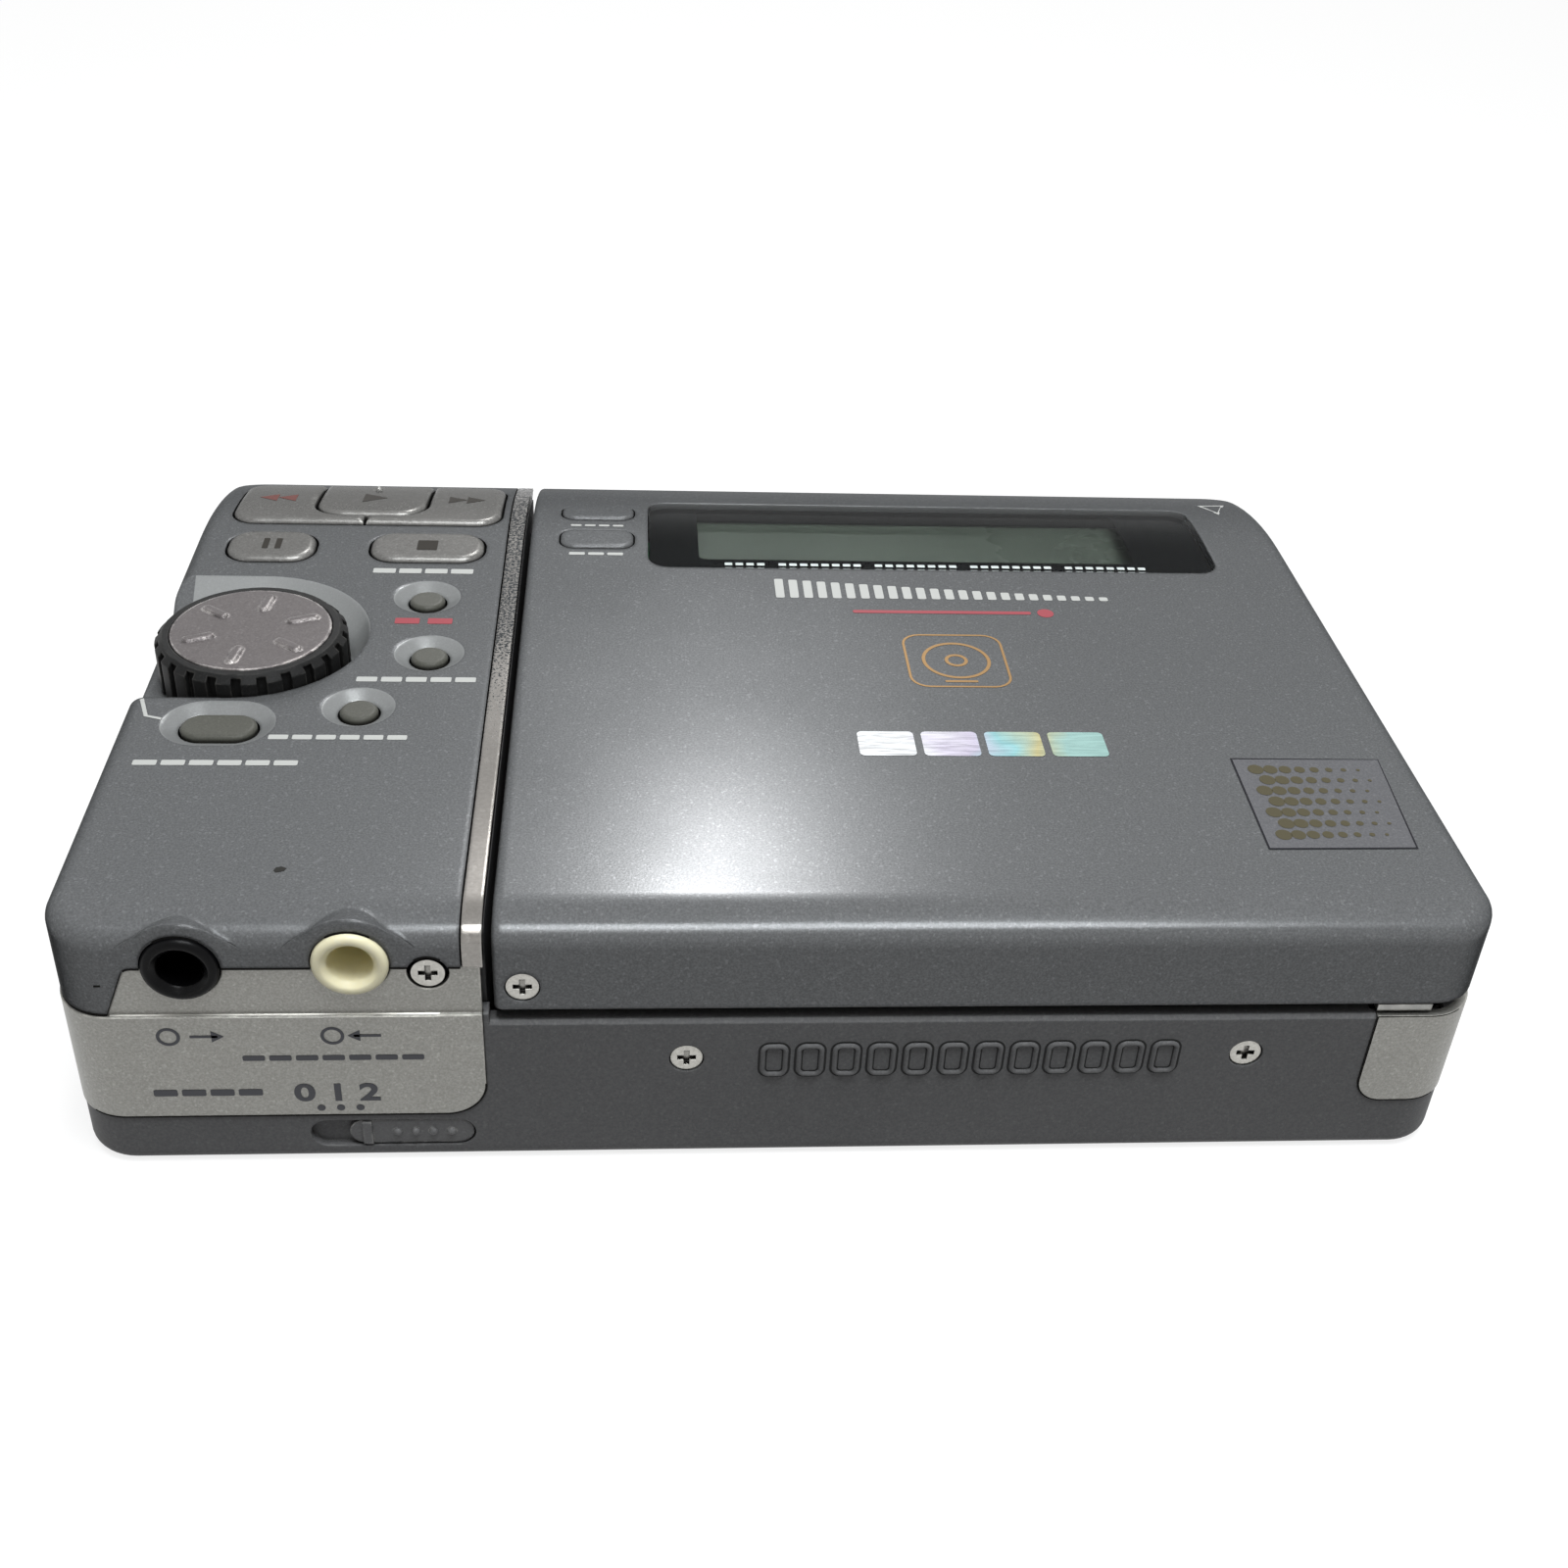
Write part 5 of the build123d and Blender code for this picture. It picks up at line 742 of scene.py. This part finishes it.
# %% [markdown]
# ## Foil strip
#
# Diffraction foil splits light into bands of colour that run along it. The true effect depends on
# where the eye is, so here the bands are a painted reflection: a fixed sweep of pale hues along the
# strip, which reads the same and survives an export. The foil is worn, so it starts grey and only its
# far part still shows colour.

# %% Foil strip
foil = bpy.data.materials.new("foil")
foil.use_nodes = True
tree = foil.node_tree
shader = tree.nodes["Principled BSDF"]
place = add(tree, "TexCoord").outputs["Object"]
along = add(tree, "SeparateXYZ", Vector=place).outputs["X"]
# Painted reflection: the foil's hues sweep along X.
sweep = span(tree, along, at(66, 0, 0).x, at(90, 0, 0).x)
wobble = add(tree, "TexNoise", Vector=place, Scale=160.0, Detail=2.0)
hues = add(tree, "ValToRGB", Fac=maths(tree, "MULTIPLY_ADD", wobble.outputs["Fac"], 0.35, sweep))
stops = [(0.0, "8f9192"), (0.25, "a3a5a7"), (0.45, "b0b2b4"), (0.62, "aaa4b6"), (0.75, "7fb0b4"),
         (0.88, "b3ab7c"), (1.0, "8fb3ae")]
ramp = hues.color_ramp
while len(ramp.elements) < len(stops):
    ramp.elements.new(0.5)
for element, (where, code) in zip(ramp.elements, stops):
    element.position = where
    element.color = shade(code)
tree.links.new(hues.outputs["Color"], shader.inputs["Base Color"])
shader.inputs["Metallic"].default_value = 0.5
tooth = use(tree, TOOTH, Scale=3000.0, Stretch=(0.1, 1, 1))
tree.links.new(span(tree, tooth["Fine"], 0, 1, 0.18, 0.34), shader.inputs["Roughness"])
FOIL = (78.0, 26.1)
strip = [bar(FOIL[0] + dx, FOIL[1], 5.2, 4.0, 0.5) for dx in (-8.8, -2.9, 3.0, 8.9)]
printed("foil_strip", strip, foil, "lid_shell", "lid", lift=0.04)

# %% [markdown]
# ## Lid's corner
#
# Near the display an outlined triangle shows which way the disc goes in. At the corner towards us a
# film sticker with a thin dark rim carries a field of dots that shrink towards one side.

# %% Triangle and film sticker
INNER_SHARE = 0.72
tri_out = [(111.7, 79.0), (115.0, 79.4), (113.1, 75.0)]
centre = tuple(sum(p[i] for p in tri_out) / 3 for i in (0, 1))
tri_in = [tuple(c + (p - c) * INNER_SHARE for c, p in zip(centre, point)) for point in tri_out]
printed("insert_mark_print", ring(tri_out, tri_in), white_ink, "lid_shell", "lid")

film = finish("film", "67676a", "878789", rough=0.26, metal=0.25, grain=5200, amount=0.3,
              bump=0.000002, gloss=0.0, tint=0.2)
film_dots = flat_ink("film_dots", "55503f", rough=0.35, gloss=0.05)
corners = [Vector((100.6, 23.9)), Vector((114.5, 23.8)), Vector((113.5, 10.1)), Vector((100.3, 10.0))]
printed("film_sticker", [[tuple(c) for c in corners]], film, "lid_shell", "lid", lift=0.03, cuts=6)


def on_film(u, v):
    """Point of the sticker for two shares across it."""
    near = corners[3].lerp(corners[2], u)
    far = corners[0].lerp(corners[1], u)
    return near.lerp(far, v)


FILM_ROWS = 7
FILM_COLUMNS = 8
dots = []
for row in range(FILM_ROWS):
    for column in range(FILM_COLUMNS):
        u = 0.14 + 0.74 * (column + 0.5 * (row % 2)) / (FILM_COLUMNS - 0.5)
        spot = on_film(u, 0.15 + 0.72 * row / (FILM_ROWS - 1))
        dots.append(disc(spot.x, spot.y, 0.74 - 0.56 * column / (FILM_COLUMNS - 1), 16))
printed("film_dots", dots, film_dots, "lid_shell", "lid", lift=0.06)
film_edge = flat_ink("film_edge", "26262a", rough=0.4, gloss=0.05)
rim = [tuple(c) for c in corners]
inset = ((0.012, 0.988), (0.995, 0.995), (0.988, 0.014), (0.012, 0.014))
thin = [tuple(on_film(u, v)) for u, v in inset]
printed("film_rim", ring(rim, thin), film_edge, "lid_shell", "lid", lift=0.05)

# %% [markdown]
# ## Window
#
# The clear window has a black print on its underside, with an opening over the reading. It hangs
# just under the window and follows its curve, so it is made here as its own thin sheet. Small light
# marks are printed on the near part of the black.

# %% Black mask under the window
window_black = flat_ink("window_black_ink", "0f1011", rough=0.5, gloss=0.0, bump=0.0)
window_marks = flat_ink("window_marks_ink", "c4c7c6", rough=0.5, gloss=0.0, bump=0.0)


def under_window(name, shapes, ink, depth):
    """Sheet that hangs a depth below the window's outer face."""
    printed(name, shapes, ink, "lcd_window", "lid", lift=-depth, cuts=3)


MASK_DEPTH = 1.06
MARKS_DEPTH = 0.98
MARK_PLACES = 40
GROUP_LENGTH = 9
outer = bar(78.35, 67.95, 61.0, 16.6, 2.0, steps=8)
opening = bar(76.8, 69.2, 47.4, 12.6, 0.8, steps=8)
under_window("window_mask", ring(outer, opening), window_black, MASK_DEPTH)
shown = [i for i in range(MARK_PLACES) if i % GROUP_LENGTH != 4]
small_marks = [bar(56.2 + 1.15 * i, 61.75, 0.8, 0.55, 0.1) for i in shown]
under_window("window_marks", small_marks, window_marks, MARKS_DEPTH)
print("window marks:", len(small_marks))

# %% [markdown]
# ## Marks on the key column
#
# Each key has a short mark beside it where its name would be, white for most and red for erase. The
# keys themselves carry the signs that every player shares: triangles, bars and a square. A white elbow
# shows where the dial's scale starts, and a dark scuff lies between the keys and the sockets.

# %% Marks beside the keys
def dashes(x0, x1, y, height, count, gap=0.35):
    """Row of short bars between two widths."""
    width = (x1 - x0 - gap * (count - 1)) / count
    return [bar(x0 + width / 2 + i * (width + gap), y, width, height, 0.15) for i in range(count)]


column_marks = dashes(19.4, 29.6, 57.9, 1.0, 4)
column_marks += dashes(20.3, 31.4, 36.6, 0.85, 5)
column_marks += dashes(13.8, 26.0, 26.7, 0.75, 6)
column_marks += dashes(2.9, 17.0, 22.6, 0.8, 6)
printed("key_marks_print", column_marks, white_ink, "control_cover", "case")
elbow = [[(1.3, 32.9), (1.65, 33.0), (2.6, 30.15), (2.3, 29.95)]]
elbow += [[(2.3, 29.95), (2.6, 30.15), (3.9, 29.75), (3.9, 29.4)]]
printed("dial_elbow_print", elbow, white_ink, "control_cover", "case", lift=0.04, cuts=7)
scuff_ink = flat_ink("scuff_ink", "2b2a28", rough=0.6, gloss=0.1)
scuff = [[(17.35, 7.2), (17.6, 6.95), (18.2, 7.15), (18.35, 7.5), (17.9, 7.75), (17.5, 7.6)]]
printed("scuff_spot", scuff, scuff_ink, "control_cover", "case")
printed("erase_mark_print", dashes(22.7, 28.3, 47.6, 1.1, 2, gap=0.8), red_ink, "control_cover", "case")
lid_marks = dashes(39.3, 45.0, 62.2, 0.6, 3) + dashes(39.3, 45.0, 68.85, 0.45, 4)
printed("lid_key_marks_print", lid_marks, white_ink, "lid_shell", "lid", cuts=1)

# %% [markdown]
# ## Signs on the keys
#
# These ride on their keys, so that they go down when a key is pressed.

# %% Transport signs
def arrow(x, y, size, way):
    """Solid triangle that points along X."""
    tip, foot, half = x + way * size * 0.55, x - way * size * 0.45, size * 0.6
    return [(tip, y), (foot, y + half), (foot, y - half)]


warm_ink = flat_ink("warm_ink", "6a3f3a", gloss=0.05)
back_arrows = [arrow(x, 75.0, 2.0, -1) for x in (6.2, 8.2)]
on_arrows = [arrow(x, 75.0, 2.0, 1) for x in (26.6, 28.6)]
pause_bars = [bar(x, 62.8, 0.6, 2.2, 0.1) for x in (7.8, 9.1)]
printed("rewind_sign", back_arrows, warm_ink, "rewind_button", "rewind_button")
printed("forward_sign", on_arrows, icon_ink, "forward_button", "forward_button")
printed("play_sign", [arrow(17.5, 75.4, 2.6, 1)], icon_ink, "play_button", "play_button")
printed("pause_sign", pause_bars, icon_ink, "pause_button", "pause_button")
printed("stop_sign", [bar(24.5, 62.8, 2.1, 2.1, 0.15)], icon_ink, "stop_button", "stop_button")

# %% [markdown]
# ## Prints on the socket plate
#
# The plate says which socket is which by signs: an arrow out of a ring and an arrow into one. Under
# them is the bass scale with its three numbers and three dots. Plain numbers come from Blender's own
# text object, which is turned to face the sockets' side and made a mesh.

# %% Socket signs and the bass scale
CAP_SHARE = 0.72
WIDENED = 1.3


def lettering(name, text, x, z, height, ink, onto="jack_plate", body="case", proud=0.03):
    """Plain numbers that stand on the back face, centred on a point."""
    curve = bpy.data.curves.new(name, "FONT")
    curve.body = text
    curve.size = height / 1000 / CAP_SHARE
    curve.align_x = "CENTER"
    curve.align_y = "CENTER"
    curve.resolution_u = 6
    curve.offset = 0.00008
    source = bpy.data.objects.new(name + "_text", curve)
    bpy.context.scene.collection.objects.link(source)
    bpy.context.view_layer.update()
    mesh = bpy.data.meshes.new_from_object(source)
    bpy.data.objects.remove(source)
    spot = surface(onto).ray_cast(at(x, BEHIND, z), Vector((0, 1, 0)))[0]
    mesh.transform(Matrix.Diagonal((WIDENED, 1, 1, 1)))
    stand = Matrix.Rotation(math.pi / 2, 4, "X")
    mesh.transform(Matrix.Translation(spot - Vector((0, proud / 1000, 0))) @ stand)
    mesh.materials.clear()
    mesh.materials.append(ink)
    mesh.name = name
    piece = bpy.data.objects.new(name, mesh)
    bpy.context.scene.collection.objects.link(piece)
    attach(piece, body)
    return piece


for text, x in (("0", 19.2), ("1", 21.9), ("2", 24.5)):
    lettering("bass_" + text, text, x, 8.0, 1.9, dark_ink)
bass_dots = [disc(x, 6.35, 0.34, 16) for x in (20.4, 22.0, 23.6)]
printed("bass_dots", bass_dots, dark_ink, "jack_plate", "case", face="back")


def socket_sign(x, z, way):
    """Ring with an arrow that leaves it or enters it."""
    shapes = ring(disc(x, z, 0.95, 28), disc(x, z, 0.68, 28))
    shaft = x + 2.8
    shapes.append(bar(shaft, z, 2.2, 0.26, 0.05))
    tip = shaft + way * 1.1
    shapes.append([(tip + way * 0.5, z), (tip - way * 0.5, z + 0.6), (tip - way * 0.5, z - 0.6)])
    return shapes


SIGN_ROW = 14.4
signs = socket_sign(9.0, SIGN_ROW, 1) + socket_sign(22.0, SIGN_ROW, -1)
signs += dashes(14.6, 29.2, 12.0, 0.55, 7) + dashes(7.0, 15.8, 8.2, 0.7, 4)
printed("socket_signs", signs, dark_ink, "jack_plate", "case", face="back")

# %% [markdown]
# ## Painted shade round the plates
#
# Where the two metal plates end, the step down to the tray gets a thin dark line of painted shade. The
# line follows the plate's own rim: every sharp edge of the mesh at the back face, found by the angle
# between its two faces, gets a narrow strip just in front of it. Edges above the plate's fold and round
# the case's corner get none. The key column's cover gets one under its lower rim, and the fold across
# the plate gets a thin bright line of painted highlight.

# %% Painted shade along the plates' rims
FOLD_Z = 16.6
CORNER_X = at(4.0, 0, 0).x
CORNER_Z = at(0, 0, 17.3).z
SHARP = 0.6
SAME_POINT = 0.000002
SHORTEST = 0.00001


def shade_line(name, solid, width, ink, depth, below=30.0, under=False):
    """Narrow strips of painted shade along the sharp edges of a solid's back face."""
    source = bmesh.new()
    source.from_mesh(nodes[solid].data)
    bmesh.ops.remove_doubles(source, verts=source.verts, dist=SAME_POINT)
    build = bmesh.new()
    lift = Vector((0, -0.00001, 0))
    for edge in source.edges:
        if len(edge.link_faces) != 2 or edge.calc_face_angle(0) < SHARP:
            continue
        a, b = edge.verts[0].co, edge.verts[1].co
        front = min(edge.link_faces, key=lambda f: f.normal.y)
        lowest = min(f.normal.z for f in edge.link_faces)
        wanted = front.normal.y < -0.8
        if under:
            wanted = front.normal.y < -0.3 and lowest < -0.8
        if not wanted or max(a.y, b.y) > at(0, depth, 0).y:
            continue
        by_corner = a.x < CORNER_X and a.z > CORNER_Z
        if (a - b).length < SHORTEST or max(a.z, b.z) > at(0, 0, below).z or by_corner:
            continue
        side = (b - a).cross(Vector((0, 1, 0))).normalized() * (width / 2000)
        corners = [build.verts.new(p + lift) for p in (a - side, b - side, b + side, a + side)]
        build.faces.new(corners)
    source.free()
    mesh = bpy.data.meshes.new(name)
    bmesh.ops.recalc_face_normals(build, faces=build.faces)
    build.to_mesh(mesh)
    build.free()
    mesh.materials.append(ink)
    piece = bpy.data.objects.new(name, mesh)
    bpy.context.scene.collection.objects.link(piece)
    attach(piece, "case")
    print(name, len(mesh.polygons))


UNDER_FOLD = FOLD_Z - 0.4
# Painted shade: dark strips along the plates' rims and under the cover's lower rim.
shade_ink = flat_ink("shade_ink", "1a1918", rough=0.7, gloss=0.05)
shade_line("jack_plate_shade", "jack_plate", 0.16, shade_ink, 2.5, below=UNDER_FOLD)
shade_line("corner_plate_shade", "corner_plate", 0.12, shade_ink, 2.5, below=UNDER_FOLD)
shade_line("cover_shade", "control_cover", 0.2, shade_ink, 3.0, under=True)
# Painted highlight: a thin pale print along the plate's fold.
fold_highlight_ink = flat_ink("fold_highlight_ink", "c9c7c0", rough=0.3, metal=0.5)
FOLD_PARTS = 26
fold = [bar(5.2 + 1.0 * i, FOLD_Z - 0.12, 1.0, 0.14) for i in range(FOLD_PARTS)]
printed("fold_highlight", fold, fold_highlight_ink, "jack_plate", "case", face="back", lift=0.02)

# %% [markdown]
# ## Relief on the back
#
# The tray's back wall has a shallow moulded relief between its two screws. Here it is a row of plain
# rounded bars, each a raised rim around a low middle. A rim is built as a closed ring of four rows of
# points, so that light runs round it as it does on moulded plastic. Dust and painted shade lie at its
# foot as a thin dark line, which is a print of its own.

# %% Moulded bars
def relief_ring(build, x, z, width, height, radius, wide, proud):
    """Raised rim in the back face, as rows of points from its outer foot to its inner foot."""
    rows = []
    for inset, rise in ((0.0, -0.05), (wide * 0.3, proud), (wide * 0.7, proud), (wide, -0.05)):
        outline = bar(x, z, width - 2 * inset, height - 2 * inset, max(radius - inset, 0.15), steps=6)
        rows.append([build.verts.new(at(u, -rise, v)) for u, v in outline])
    count = len(rows[0])
    for a, b in zip(rows, rows[1:]):
        for i in range(count):
            build.faces.new((a[i], a[(i + 1) % count], b[(i + 1) % count], b[i]))


BAR_PLACES = [(58.0 + 3.02 * i, 11.2) for i in range(12)]
build = bmesh.new()
for place in BAR_PLACES:
    relief_ring(build, *place, 2.4, 3.6, 0.8, 0.5, 0.26)
mesh = bpy.data.meshes.new("moulded_bars")
bmesh.ops.recalc_face_normals(build, faces=build.faces)
build.to_mesh(mesh)
build.free()
for face in mesh.polygons:
    face.use_smooth = True
mesh.materials.append(tray_plastic)
moulded_bars = bpy.data.objects.new("moulded_bars", mesh)
bpy.context.scene.collection.objects.link(moulded_bars)
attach(moulded_bars, "case")
# Dust and painted shade: thin dark rings at the outer and inner foot of each bar.
foot_ink = flat_ink("foot_ink", "2c2c2c", rough=0.6, gloss=0.1)
feet = []
for place in BAR_PLACES:
    feet += ring(bar(*place, 2.7, 3.9, 0.95, steps=6), bar(*place, 2.3, 3.5, 0.75, steps=6))
    feet += ring(bar(*place, 1.55, 2.75, 0.4, steps=6), bar(*place, 1.25, 2.45, 0.3, steps=6))
printed("moulded_feet", feet, foot_ink, "base_shell", "case", face="back", lift=0.02)

# %% [markdown]
# ## Floor
#
# A wide pale sheet catches a soft shadow. It has enough glow of its own for the camera to make it
# white away from the recorder. The glow shows only to rays that see the sheet directly, so it doesn't
# light the recorder from below. The sheet lies a hair lower than the recorder's underside.

# %% Floor
FLOOR_DROP = 0.00002
build = bmesh.new()
bmesh.ops.create_grid(build, x_segments=2, y_segments=2, size=3.0)
mesh = bpy.data.meshes.new("floor")
build.to_mesh(mesh)
build.free()
floor = bpy.data.objects.new("floor", mesh)
floor.location.z = -FLOOR_DROP
bpy.context.scene.collection.objects.link(floor)
floor_white = bpy.data.materials.new("floor_white")
floor_white.use_nodes = True
tree = floor_white.node_tree
tree.nodes.clear()
pale = add(tree, "BsdfDiffuse", Color=(0.25, 0.25, 0.25, 1))
glow = add(tree, "Emission", Color=(1, 1, 1, 1), Strength=0.82)
both = add(tree, "AddShader", _0=pale.outputs[0], _1=glow.outputs[0])
seen = seen_directly(tree)
only = add(tree, "MixShader", _0=seen, _1=pale.outputs[0], _2=both.outputs[0])
add(tree, "OutputMaterial", Surface=only.outputs[0])
mesh.materials.append(floor_white)
